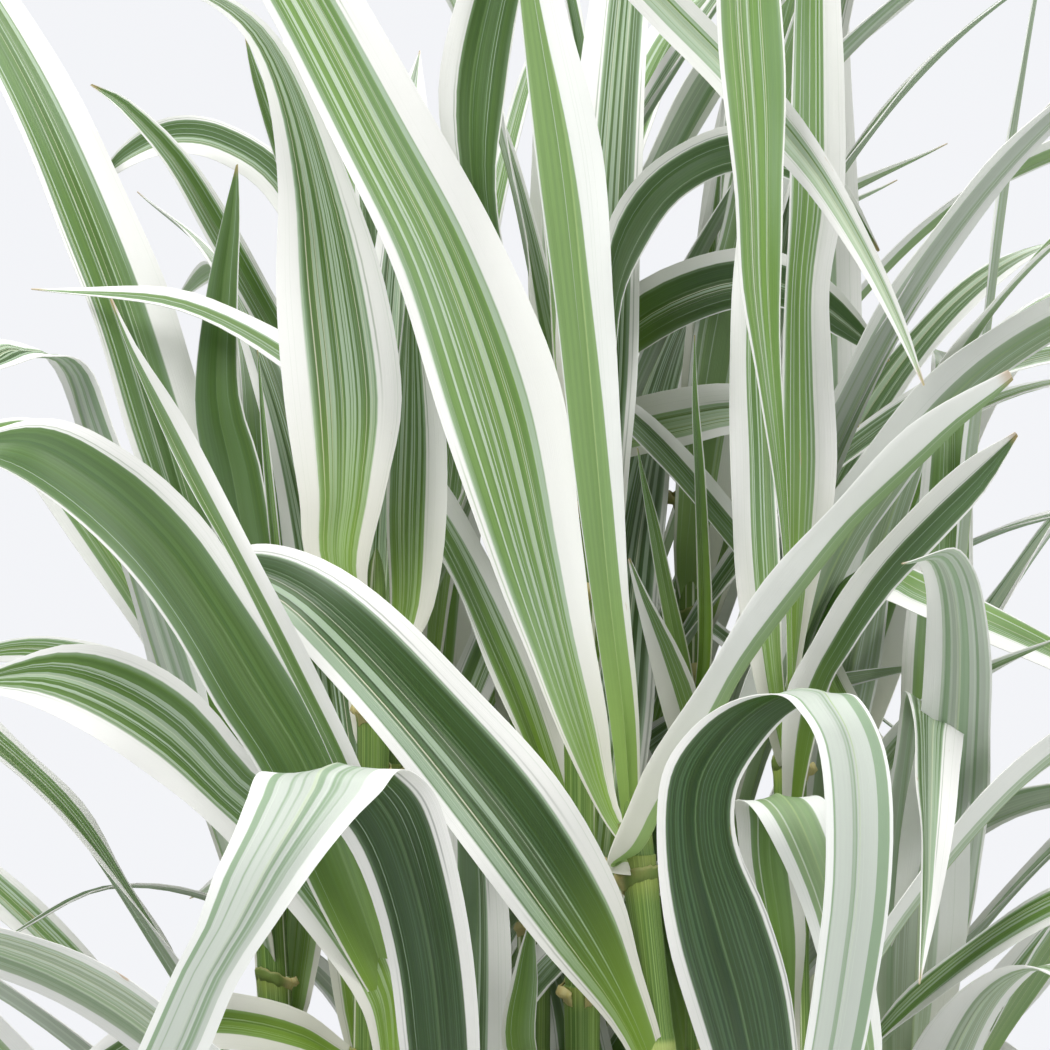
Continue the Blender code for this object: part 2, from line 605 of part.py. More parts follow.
def make_pot(parts):
    drains = new_collection("pot_cutters", hidden=True)
    shoulder = POT_RIM_RADIUS - RIM_STAND_OUT
    rim_foot = POT_HEIGHT - RIM_HEIGHT
    wall_at_rim = inner_radius(rim_foot) + POT_WALL
    profile = [
        (0, POT_FLOOR),
        (inner_radius(POT_FLOOR), POT_FLOOR),
        (inner_radius(POT_HEIGHT), POT_HEIGHT - RIM_ROUNDING / 2),
        (inner_radius(POT_HEIGHT) + RIM_ROUNDING / 2, POT_HEIGHT),
        (POT_RIM_RADIUS - RIM_ROUNDING, POT_HEIGHT),
        (POT_RIM_RADIUS, POT_HEIGHT - RIM_ROUNDING),
        (POT_RIM_RADIUS - 0.001, rim_foot + RIM_ROUNDING),
        ((POT_RIM_RADIUS + shoulder) / 2, rim_foot),
        (wall_at_rim, rim_foot - 0.001),
        (POT_BASE_RADIUS + 0.001, 0.003),
        (POT_BASE_RADIUS - 0.003, 0),
        (0, 0),
    ]
    pot = turned("pot", profile, parts, principled("clay", (0.55, 0.25, 0.14), 0.85))
    for i in range(DRAIN_HOLES):
        turn = math.tau * i / DRAIN_HOLES
        x = DRAIN_RING_RADIUS * math.cos(turn)
        y = DRAIN_RING_RADIUS * math.sin(turn)
        cylinder_cutter(f"drain_{i}", x, y, -0.01, POT_FLOOR + 0.01, DRAIN_HOLE_RADIUS, 12, drains)
    cut(pot, drains)
    pot.data.set_sharp_from_angle(angle=math.radians(40))


def make_soil(parts):
    holes = new_collection("soil_cutters", hidden=True)
    low = POT_FLOOR + GAP
    edge = inner_radius(SOIL_LEVEL) - GAP / math.cos(math.pi / POT_SIDES)
    foot = inner_radius(low) - GAP / math.cos(math.pi / POT_SIDES)
    rings = 5
    profile = []
    for i in range(rings + 1):
        share = i / rings
        profile.append((edge * share, SOIL_LEVEL + SOIL_CROWN * (1 - share * share)))
    profile += [(foot, low), (0, low)]
    soil = turned("soil", profile, parts, principled("soil", (0.05, 0.035, 0.025), 0.95))
    for vertex in soil.data.vertices:
        beside = math.hypot(vertex.co.x, vertex.co.y)
        if vertex.co.z > POT_HEIGHT / 2 and 0.01 < beside < edge - 0.01:
            wave = math.sin(vertex.co.x * 90 + 1) * math.cos(vertex.co.y * 110) + math.sin(vertex.co.y * 60)
            vertex.co.z += SOIL_LUMP * wave
    for name, ((x, y), _, _) in CULMS.items():
        bottom = SOIL_LEVEL - CULM_DEPTH_IN_SOIL - GAP
        cylinder_cutter(f"{name}_hole", x, y, bottom, POT_HEIGHT + 0.01, HOLE_RADIUS, HOLE_SIDES, holes)
    cut(soil, holes)


def culm_tube(name, collection):
    """The culm without its blades: a round stem that thins towards its top, as a closed mesh."""
    curve = bpy.data.curves.new(name, "CURVE")
    curve.dimensions = "3D"
    curve.bevel_depth = CULM_RADIUS
    curve.bevel_resolution = 2
    curve.use_fill_caps = True
    top = CULMS[name][1][2]
    start = SOIL_LEVEL + CULM_STRAIGHT_ABOVE_SOIL
    heights = [SOIL_LEVEL - CULM_DEPTH_IN_SOIL]
    heights += [start + (top - start) * i / CULM_RINGS for i in range(CULM_RINGS + 1)]
    spline = curve.splines.new("POLY")
    spline.points.add(len(heights) - 1)
    for point, z in zip(spline.points, heights):
        share = max(0, (z - start) / (top - start))
        point.co = (*culm_point(name, z), 1)
        point.radius = 1 + (CULM_TOP_RADIUS / CULM_RADIUS - 1) * share
    guide = bpy.data.objects.new(name + "_guide", curve)
    collection.objects.link(guide)
    bpy.context.view_layer.update()
    graph = bpy.context.evaluated_depsgraph_get()
    mesh = bpy.data.meshes.new_from_object(guide.evaluated_get(graph))
    bpy.data.objects.remove(guide, do_unlink=True)
    work = bmesh.new()
    work.from_mesh(mesh)
    bmesh.ops.remove_doubles(work, verts=work.verts, dist=0.00001)
    work.to_mesh(mesh)
    work.free()
    mesh.name = name
    return mesh


def keep_largest_body(mesh):
    """Drops the loose scraps and fills the tiny sealed hollows that joining thin blades can leave."""
    work = bmesh.new()
    work.from_mesh(mesh)
    unseen = set(work.verts)
    bodies = []
    while unseen:
        body = set()
        edge_of_body = [unseen.pop()]
        while edge_of_body:
            vertex = edge_of_body.pop()
            body.add(vertex)
            for edge in vertex.link_edges:
                other = edge.other_vert(vertex)
                if other in unseen:
                    unseen.discard(other)
                    edge_of_body.append(other)
        bodies.append(body)
    largest = max(bodies, key=len)
    loose = [vertex for body in bodies if body is not largest for vertex in body]
    bmesh.ops.delete(work, geom=loose, context="VERTS")
    work.to_mesh(mesh)
    work.free()


def make_culm(name, blades, parts, material):
    """A culm and its blades, joined into one body."""
    culm = new_object(name, culm_tube(name, parts), parts)
    culm.data.materials.clear()
    culm.data.materials.append(material)
    loose = new_collection(name + "_blades", hidden=True)
    for title, sections in blades:
        mesh = bpy.data.meshes.new(title)
        points, faces = blade_mesh(sections)
        mesh.from_pydata(points, [], faces)
        new_object(f"{name}_{title}", mesh, loose)
    union = culm.modifiers.new("blades", "BOOLEAN")
    union.operation = "UNION"
    union.operand_type = "COLLECTION"
    union.collection = loose
    union.solver = "EXACT"
    apply_modifiers(culm)
    for obj in list(loose.objects):
        bpy.data.objects.remove(obj, do_unlink=True)
    bpy.data.collections.remove(loose)
    keep_largest_body(culm.data)
    culm.data.shade_smooth()
    culm.data.set_sharp_from_angle(angle=math.radians(50))


def main():
    clear_scene()
    parts = new_collection("potted_giant_reed")
    make_pot(parts)
    make_soil(parts)
    blades = all_blades()
    for name in CULMS:
        own = [(title, sections) for owner, title, sections in blades if owner == name]
        make_culm(name, own, parts, principled(name, (0.24, 0.38, 0.18), 0.5))


main()
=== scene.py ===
import json
import math
import random

import bmesh
import bpy
from mathutils import Matrix, Vector, noise
from mathutils.bvhtree import BVHTree
from mathutils.geometry import interpolate_bezier

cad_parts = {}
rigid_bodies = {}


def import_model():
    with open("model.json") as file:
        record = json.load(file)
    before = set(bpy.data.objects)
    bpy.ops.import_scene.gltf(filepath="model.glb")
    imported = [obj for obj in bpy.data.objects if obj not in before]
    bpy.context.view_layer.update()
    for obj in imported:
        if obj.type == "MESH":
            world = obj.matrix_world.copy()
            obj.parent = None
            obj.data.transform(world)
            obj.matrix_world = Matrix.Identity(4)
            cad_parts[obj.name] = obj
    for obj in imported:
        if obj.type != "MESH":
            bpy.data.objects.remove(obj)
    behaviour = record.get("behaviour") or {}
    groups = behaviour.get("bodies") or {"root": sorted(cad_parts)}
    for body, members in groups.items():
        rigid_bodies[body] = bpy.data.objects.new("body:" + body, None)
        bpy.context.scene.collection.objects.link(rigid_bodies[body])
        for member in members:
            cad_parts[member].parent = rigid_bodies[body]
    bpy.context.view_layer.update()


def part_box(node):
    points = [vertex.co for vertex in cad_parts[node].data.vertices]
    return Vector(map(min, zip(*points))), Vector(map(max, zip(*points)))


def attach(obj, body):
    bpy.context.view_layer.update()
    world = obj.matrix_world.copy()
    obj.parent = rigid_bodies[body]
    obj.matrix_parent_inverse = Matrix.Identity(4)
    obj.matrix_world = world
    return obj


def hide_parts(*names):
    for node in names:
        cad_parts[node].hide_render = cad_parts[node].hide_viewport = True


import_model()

# The view: a long lens at the height of the upper leaves, straight at the front culm, as the plant was
# photographed. The picture is 1050 pixels square, and one pixel is PIXEL metres on the front culm's plane.
PICTURE_MIDDLE = 525
VIEW_X = -0.020
VIEW_Z = 0.580
VIEW_PLANE_Y = -0.100
VIEW_DISTANCE = 1.200
PIXEL = 0.00032
SENSOR = 36

studio_scene = bpy.context.scene
camera = bpy.data.objects.new("camera", bpy.data.cameras.new("camera"))
camera.data.sensor_width = SENSOR
camera.data.lens = SENSOR * VIEW_DISTANCE / (2 * PICTURE_MIDDLE * PIXEL)
camera.location = (VIEW_X, VIEW_PLANE_Y - VIEW_DISTANCE, VIEW_Z)
camera.rotation_euler = (math.radians(90), 0, 0)
studio_scene.collection.objects.link(camera)
studio_scene.camera = camera


# The light: a bright white studio, with large soft lamps from the upper left and the front, and one from
# behind that shines through the leaves.
def soft_lamp(name, place, target, size, watts):
    """A square soft lamp that faces a point."""
    lamp = bpy.data.objects.new(name, bpy.data.lights.new(name, "AREA"))
    lamp.data.size = size
    lamp.data.energy = watts
    lamp.location = place
    lamp.rotation_euler = (Vector(target) - Vector(place)).to_track_quat("-Z", "Y").to_euler()
    studio_scene.collection.objects.link(lamp)


soft_lamp("key_lamp", (-1.3, -1.9, 2.6), (0, 0, 0.5), 1.5, 92)
soft_lamp("fill_lamp", (1.9, -1.7, 1.4), (0, 0, 0.55), 1.5, 40)
soft_lamp("top_lamp", (0.3, -0.1, 2.9), (0, 0, 0.5), 1.8, 46)
soft_lamp("back_lamp", (0.6, 1.9, 2.2), (0, 0, 0.6), 1.4, 30)

class Flow:
    """One socket of a material's or the room's nodes.

    Sums and products of flows add Math nodes, and node() adds any other node.
    """

    def __init__(self, tree, socket=None):
        self.tree = tree
        self.socket = socket

    def node(self, kind, settings, inputs, output=0):
        """Adds a node: its settings come first, then the value or flow that goes into each socket."""
        made = self.tree.nodes.new("ShaderNode" + kind)
        for name, value in settings.items():
            setattr(made, name, value)
        for name, value in inputs.items():
            if isinstance(value, Flow):
                self.tree.links.new(value.socket, made.inputs[name])
            else:
                made.inputs[name].default_value = value
        return Flow(self.tree, made.outputs[output] if made.outputs else None)

    def maths(self, operation, first, second=0.0):
        return self.node("Math", {"operation": operation}, {0: first, 1: second})

    def __add__(self, other):
        return self.maths("ADD", self, other)

    def __radd__(self, other):
        return self.maths("ADD", other, self)

    def __sub__(self, other):
        return self.maths("SUBTRACT", self, other)

    def __rsub__(self, other):
        return self.maths("SUBTRACT", other, self)

    def __mul__(self, other):
        return self.maths("MULTIPLY", self, other)

    def __rmul__(self, other):
        return self.maths("MULTIPLY", other, self)

    def rises(self, low, high):
        """0 below low, 1 above high, and a soft step between them."""
        settings = {"interpolation_type": "SMOOTHSTEP"}
        return self.node("MapRange", settings, {"Value": self, "From Min": low, "From Max": high})

    def blend(self, first, second):
        """The first colour where this flow is 0, and the second where it is 1."""
        return self.node("Mix", {"data_type": "RGBA"}, {0: self, 6: first, 7: second}, 2)

    def part(self, letter):
        """One coordinate of a vector flow."""
        return self.node("SeparateXYZ", {}, {0: self}, "XYZ".index(letter))

    def grain(self, scale, detail=2.0, roughness=0.5):
        """Soft noise over this vector flow."""
        settings = {"noise_dimensions": "3D"}
        inputs = {"Vector": self, "Scale": scale, "Detail": detail, "Roughness": roughness}
        return self.node("TexNoise", settings, inputs)


# The room round the plant looks nearly white but gives only part of the light
ROOM_WHITE = (0.90, 0.91, 0.94, 1)
ROOM_GLOW = (0.42, 0.42, 0.43, 1)
studio = bpy.data.worlds.new("studio")
studio.use_nodes = True
studio.node_tree.nodes.clear()
room = Flow(studio.node_tree)
seen_directly = room.node("LightPath", {}, {})
room = room.node("Background", {}, {"Color": seen_directly.blend(ROOM_GLOW, ROOM_WHITE)})
room.node("OutputWorld", {}, {"Surface": room})
studio_scene.world = studio
studio_scene.view_settings.view_transform = "Standard"


# The floor: a plain pale sheet of card under the pot, which fades out towards its edge so that it meets
# the room without a line. It isn't part of the plant.
FLOOR_RADIUS = 2.4
FLOOR_SEEN = (0.5, 2.0)


def paint(red, green, blue):
    """A colour, 0 to 255, turned into light."""
    return tuple((value / 255) ** 2.2 for value in (red, green, blue)) + (1,)


def new_material(name):
    """An empty material, and the flow that its nodes start from."""
    material = bpy.data.materials.new(name)
    material.use_nodes = True
    material.node_tree.nodes.clear()
    return material, Flow(material.node_tree)


def plain_finish(start, inputs):
    """Ends a material with one plain shader."""
    start.node("OutputMaterial", {}, {"Surface": start.node("BsdfPrincipled", {}, inputs)})


def piece(name, points, faces, materials):
    """A new mesh object from points and faces, smooth but for its sharp edges."""
    mesh = bpy.data.meshes.new(name)
    mesh.from_pydata(points, [], faces)
    for material in materials:
        mesh.materials.append(material)
    mesh.shade_smooth()
    obj = bpy.data.objects.new(name, mesh)
    studio_scene.collection.objects.link(obj)
    return obj


floor_paint, start = new_material("floor_card")
place = start.node("TexCoord", {}, {}, 3)
fibre = place.grain(40, 4)
inputs = {
    "Base Color": fibre.blend(paint(206, 207, 209), paint(212, 213, 214)),
    "Roughness": 0.8,
    "Alpha": 1 - start.node("VectorMath", {"operation": "LENGTH"}, {0: place}, 1).rises(*FLOOR_SEEN),
    "Normal": start.node("Bump", {}, {"Height": fibre, "Distance": 0.0005, "Strength": 0.2}),
}
plain_finish(start, inputs)
rim = [Vector((math.cos(math.tau * i / 96), math.sin(math.tau * i / 96), 0)) for i in range(96)]
floor = piece("floor", [spoke * FLOOR_RADIUS for spoke in rim], [tuple(range(96))], [floor_paint])


# The pot: one thrown and fired clay body with a thick rolled rim and five drain holes cut through its
# floor. Its outside has fine throwing rings, and lime has bloomed through it where it was damp.
POT_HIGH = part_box("pot")[1]
POT_HEIGHT = round(POT_HIGH[2], 4)
RIM_RADIUS = round(POT_HIGH[0], 4)
BASE_RADIUS = 0.104
WALL = 0.009
POT_FLOOR = 0.011
RIM_HEIGHT = 0.036
RIM_STAND_OUT = 0.007
ROUNDING = 0.004
POT_SIDES = 128
RINGS_DEPTH = 0.00018
DRAIN_HOLES = 5
DRAIN_RADIUS = 0.007
DRAIN_RING_RADIUS = 0.058


def inner_radius(z):
    """The pot's inner wall at a height."""
    slope = (RIM_RADIUS - RIM_STAND_OUT - BASE_RADIUS) / POT_HEIGHT
    return BASE_RADIUS + slope * z - WALL


def rounded(profile, reach, steps=4):
    """A profile of (radius, height) points with each corner that has a reach turned into a small curve."""
    out = []
    for i, (radius, z) in enumerate(profile):
        here = Vector((radius, z))
        if i in (0, len(profile) - 1) or not reach.get(i):
            out.append(here)
            continue
        before = (Vector(profile[i - 1]) - here).normalized() * reach[i]
        after = (Vector(profile[i + 1]) - here).normalized() * reach[i]
        handles = (here + before, here + before * 0.4, here + after * 0.4, here + after)
        out += interpolate_bezier(*handles, steps)
    return out


def turned(profile, sides):
    """Points and faces of the solid that a closed profile gives when it is turned round the axis."""
    points = [Vector((0, 0, profile[0][1]))]
    rows = []
    for radius, z in profile[1:-1]:
        rows.append(len(points))
        for k in range(sides):
            turn = math.tau * k / sides
            points.append(Vector((radius * math.cos(turn), radius * math.sin(turn), z)))
    last = len(points)
    points.append(Vector((0, 0, profile[-1][1])))
    faces = []
    for k in range(sides):
        after = (k + 1) % sides
        faces.append((0, rows[0] + k, rows[0] + after))
        faces.append((last, rows[-1] + after, rows[-1] + k))
        for low, high in zip(rows, rows[1:]):
            faces.append((low + k, high + k, high + after, low + after))
    return points, faces


def clay_material():
    material, start = new_material("fired_clay")
    place = start.node("TexCoord", {}, {}, 3)
    height = place.part("Z")
    cloud = place.grain(9, 5, 0.6)
    speck = place.grain(420, 2).rises(0.62, 0.70)
    grit = place.grain(900, 3)
    stretched = start.node("VectorMath", {"operation": "MULTIPLY"}, {0: place, 1: (3, 3, 260)})
    throwing = stretched.grain(1, 2)
    colour = cloud.rises(0.35, 0.68).blend(paint(184, 112, 82), paint(156, 88, 62))
    colour = (throwing.rises(0.40, 0.62) * 0.35).blend(colour, paint(206, 134, 98))
    colour = (speck * 0.5).blend(colour, paint(104, 56, 40))
    damp = (1 - height.rises(0.004, 0.055)) * 0.75
    colour = damp.blend(colour, paint(122, 66, 46))
    bloom = place.grain(24, 6, 0.65).rises(0.52, 0.66)
    band = height.rises(0.02, 0.07) * (1 - height.rises(0.13, 0.20))
    colour = (bloom * (band * 0.6 + 0.12)).blend(colour, paint(226, 206, 188))
    edge = height.rises(POT_HEIGHT - 0.004, POT_HEIGHT)
    colour = (edge * place.grain(60, 3).rises(0.45, 0.6) * 0.6).blend(colour, paint(216, 160, 128))
    surface = grit * 0.35 + throwing * 0.65 - speck * 0.3
    inputs = {
        "Base Color": colour,
        "Roughness": 0.92 - bloom * 0.1 - damp * 0.12,
        "Normal": start.node("Bump", {}, {"Height": surface, "Distance": 0.0004, "Strength": 0.6}),
    }
    plain_finish(start, inputs)
    return material


rim_foot = POT_HEIGHT - RIM_HEIGHT
wall_at_rim = inner_radius(rim_foot) + WALL
profile = [
    (0, POT_FLOOR),
    (inner_radius(POT_FLOOR), POT_FLOOR),
    (inner_radius(POT_HEIGHT), POT_HEIGHT),
    (RIM_RADIUS, POT_HEIGHT),
    (RIM_RADIUS - 0.001, rim_foot),
    (wall_at_rim, rim_foot - 0.001),
    (BASE_RADIUS, 0),
    (0, 0),
]
reach = {1: 0.006, 2: 0.003, 3: ROUNDING, 4: 0.003, 5: 0.002, 6: 0.003}
outline = []
corners = rounded(profile, reach)
for before, after in zip(corners, corners[1:]):
    cuts = max(1, round((after - before).length / 0.004)) if min(before[0], after[0]) > 0.05 else 1
    outline += [before.lerp(after, k / cuts) for k in range(cuts)]
outline.append(corners[-1])
points, faces = turned(outline, POT_SIDES)
for point in points:
    radius = math.hypot(point.x, point.y)
    if radius > inner_radius(point.z) + WALL / 2 and 0.006 < point.z < rim_foot - 0.006:
        ring = math.sin(point.z * 1500) + 0.6 * math.sin(point.z * 620 + 1)
        point.xy = point.xy * (1 + RINGS_DEPTH * (ring - 1.6) / radius)
pot = piece("clay_pot", points, faces, [clay_material()])
drills = bpy.data.collections.new("drills")
studio_scene.collection.children.link(drills)
for i in range(DRAIN_HOLES):
    turn = math.tau * i / DRAIN_HOLES
    middle = Vector((DRAIN_RING_RADIUS * math.cos(turn), DRAIN_RING_RADIUS * math.sin(turn), 0))
    drill_profile = [(0, 0.03), (DRAIN_RADIUS, 0.03), (DRAIN_RADIUS, -0.01), (0, -0.01)]
    points, faces = turned(drill_profile, 32)
    drill = piece(f"drill_{i}", [point + middle for point in points], faces, [])
    studio_scene.collection.objects.unlink(drill)
    drills.objects.link(drill)
boolean = pot.modifiers.new("drain_holes", "BOOLEAN")
boolean.operand_type = "COLLECTION"
boolean.collection = drills
boolean.solver = "EXACT"


def apply_modifiers(obj):
    """Turns what an object's modifiers show into its own mesh."""
    bpy.context.view_layer.update()
    graph = bpy.context.evaluated_depsgraph_get()
    mesh = bpy.data.meshes.new_from_object(obj.evaluated_get(graph))
    obj.modifiers.clear()
    obj.data = mesh


apply_modifiers(pot)
for drill in list(drills.objects):
    bpy.data.objects.remove(drill, do_unlink=True)
bpy.data.collections.remove(drills)
pot.data.set_sharp_from_angle(angle=math.radians(40))
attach(pot, "root")
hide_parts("pot")


# The soil: peat-free potting mix, pressed down to below the rim and a little crowned in the middle. Its
# top is crumbly and holds bark chips, grit and a few pale grains.
SOIL_LEVEL = 0.222
SOIL_CROWN = 0.006
SOIL_GAP = 0.0004
SOIL_RINGS = 46
SOIL_SPOKES = 150
CRUMB = 0.0016
CHIPS = 420


def soil_height(x, y):
    """The lie of the soil's top at a place."""
    share = math.hypot(x, y) / inner_radius(SOIL_LEVEL)
    wave = math.sin(x * 90 + 1) * math.cos(y * 110) + math.sin(y * 60)
    crumbs = noise.noise(Vector((x, y, 0)) * 160) + 0.6 * noise.noise(Vector((x, y, 3)) * 420)
    settled = min(1.0, (1 - share) / 0.06)
    return SOIL_LEVEL + SOIL_CROWN * (1 - share * share) + (0.0012 * wave + CRUMB * crumbs) * settled


def soil_material():
    material, start = new_material("potting_mix")
    place = start.node("TexCoord", {}, {}, 3)
    crumb = place.grain(260, 5, 0.7)
    lump = place.grain(60, 4)
    fleck = place.grain(900, 2).rises(0.66, 0.72)
    colour = crumb.rises(0.35, 0.66).blend(paint(38, 28, 21), paint(84, 62, 45))
    colour = (lump.rises(0.4, 0.7) * 0.5).blend(colour, paint(56, 44, 32))
    colour = (fleck * 0.8).blend(colour, paint(160, 140, 112))
    inputs = {
        "Base Color": colour,
        "Roughness": 0.86 + crumb * 0.12,
        "Normal": start.node("Bump", {}, {"Height": crumb + fleck * 0.2, "Distance": 0.0012}),
    }
    plain_finish(start, inputs)
    return material


profile = [(0, SOIL_LEVEL)]
edge = inner_radius(SOIL_LEVEL) - SOIL_GAP
profile += [(edge * (i / SOIL_RINGS) ** 0.8, SOIL_LEVEL) for i in range(1, SOIL_RINGS + 1)]
profile += [(inner_radius(POT_FLOOR) - 0.003, POT_FLOOR + SOIL_GAP), (0, POT_FLOOR + SOIL_GAP)]
points, faces = turned(profile, SOIL_SPOKES)
for point in points:
    if point.z > SOIL_LEVEL - 0.001:
        point.z = soil_height(point.x, point.y)
soil = piece("potting_soil", points, faces, [soil_material()])
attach(soil, "root")
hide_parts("soil")


def chip_material():
    material, start = new_material("bark_and_grit")
    kind = start.node("UVMap", {"uv_map": "kind"}, {}).part("X")
    place = start.node("TexCoord", {}, {}, 3)
    mottle = place.grain(700, 3)
    bark = mottle.rises(0.35, 0.65).blend(paint(70, 44, 28), paint(132, 92, 60))
    grit = mottle.rises(0.35, 0.65).blend(paint(150, 140, 126), paint(206, 200, 188))
    inputs = {
        "Base Color": kind.rises(0.49, 0.51).blend(bark, grit),
        "Roughness": 0.9,
        "Normal": start.node("Bump", {}, {"Height": mottle, "Distance": 0.0006}),
    }
    plain_finish(start, inputs)
    return material


scatter = random.Random(7)
ball = bmesh.new()
bmesh.ops.create_icosphere(ball, subdivisions=1, radius=1)
ball_points = [vertex.co.copy() for vertex in ball.verts]
ball_faces = [tuple(vertex.index for vertex in face.verts) for face in ball.faces]
ball.free()
points = []
faces = []
kinds = []
for number in range(CHIPS):
    radius = (edge - 0.006) * math.sqrt(scatter.random())
    turn = scatter.uniform(0, math.tau)
    x, y = radius * math.cos(turn), radius * math.sin(turn)
    gritty = scatter.random() < 0.4
    size = scatter.uniform(0.0010, 0.0021) if gritty else scatter.uniform(0.0018, 0.0046)
    flat = (1, 0.8, 0.8) if gritty else (1, scatter.uniform(0.4, 0.7), scatter.uniform(0.22, 0.4))
    lean = Matrix.Rotation(scatter.uniform(-0.5, 0.5), 3, "X")
    spin = Matrix.Rotation(scatter.uniform(0, math.tau), 3, "Z")
    middle = Vector((x, y, soil_height(x, y) + size * flat[2] * 0.3))
    first = len(points)
    for corner in ball_points:
        rough = corner * (1 + scatter.uniform(-0.18, 0.18))
        points.append(middle + spin @ lean @ Vector([rough[i] * flat[i] * size for i in range(3)]))
    faces += [tuple(first + index for index in face) for face in ball_faces]
    kinds += [float(gritty)] * len(ball_points)
chips = piece("soil_chips", points, faces, [chip_material()])
layer = chips.data.uv_layers.new(name="kind")
for loop in chips.data.loops:
    layer.data[loop.index].uv = (kinds[loop.vertex_index], 0)
chips.data.set_sharp_from_angle(angle=math.radians(30))
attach(chips, "root")


# The culms and their blades: where each culm stands and each blade grows. A culm is one cane, and its
# blades leave it in two ranks. The blades seen in the photograph are given one by one, each as a row of
# pairs of margin points, and the others arch outwards by a rule, clear of every blade before them.
LOWEST_BLADE_ROOT = 0.045
CULM_RADIUS = 0.0055
CULM_TOP_RADIUS = 0.0038
CULM_DEPTH_IN_SOIL = 0.055
CULM_STRAIGHT_ABOVE_SOIL = 0.005
CULM_LEAN_POWER = 1.5
CULM_RINGS = 6
BLADE_THICKNESS = 0.0016
ROOT_WIDTH = 0.005
BEND_POWER = 2.1
CLEARANCE = 0.0014
TRIES = 260
TRIES_CLEAR_OF_OWN = 60
SEED = 41
SPIKE = "spike"
BLADE_LENGTH = (0.36, 0.54)
BLADE_WIDTH = (0.030, 0.042)
BLADE_FOLD = (0.003, 0.005)
SPIKE_LENGTH = (0.20, 0.34)
SPIKE_WIDTH = (0.011, 0.018)
SPIKE_FOLD = 0.003
CREASED_SHARE = 0.18
CREASE_PLACE = (0.42, 0.66)
CREASE_BEND = math.radians(80)
LOWEST_HANG = 0.06
CLEAR_OF_RIM = 0.012
# Each culm: where it leaves the soil (x, y), its top (x, y, z), and the compass angle of its two ranks
CULMS = {
    "culm_front": ((0.035, -0.093), (0.0135, -0.091, 0.498), 200),
    "culm_right": ((0.071, -0.050), (0.068, -0.048, 0.528), 20),
    "culm_front_left": ((-0.038, -0.080), (-0.062, -0.078, 0.440), 165),
    "culm_left": ((-0.074, -0.030), (-0.070, -0.040, 0.572), 110),
    "culm_far_left": ((-0.100, 0.012), (-0.114, 0.004, 0.520), 190),
    "culm_middle": ((0.000, -0.030), (-0.002, -0.032, 0.610), 75),
    "culm_middle_right": ((0.042, 0.004), (0.040, -0.002, 0.525), 45),
    "culm_far_right": ((0.104, -0.002), (0.122, 0.000, 0.500), 350),
    "culm_back": ((-0.018, 0.038), (-0.014, 0.040, 0.640), 130),
    "culm_back_left": ((-0.064, 0.052), (-0.070, 0.058, 0.600), 150),
    "culm_back_right": ((0.038, 0.054), (0.040, 0.056, 0.615), 60),
    "culm_rear": ((0.012, 0.096), (0.020, 0.112, 0.590), 95),
    "culm_rear_left": ((-0.042, 0.096), (-0.058, 0.118, 0.520), 125),
    "culm_rear_right": ((0.078, 0.072), (0.094, 0.090, 0.545), 35),
}

# How many blades the rule adds to each culm
BLADES_BY_RULE = {
    "culm_front": 5,
    "culm_right": 4,
    "culm_front_left": 4,
    "culm_left": 6,
    "culm_far_left": 7,
    "culm_middle": 6,
    "culm_middle_right": 7,
    "culm_far_right": 8,
    "culm_back": 8,
    "culm_back_left": 7,
    "culm_back_right": 9,
    "culm_rear": 9,
    "culm_rear_left": 9,
    "culm_rear_right": 9,
}
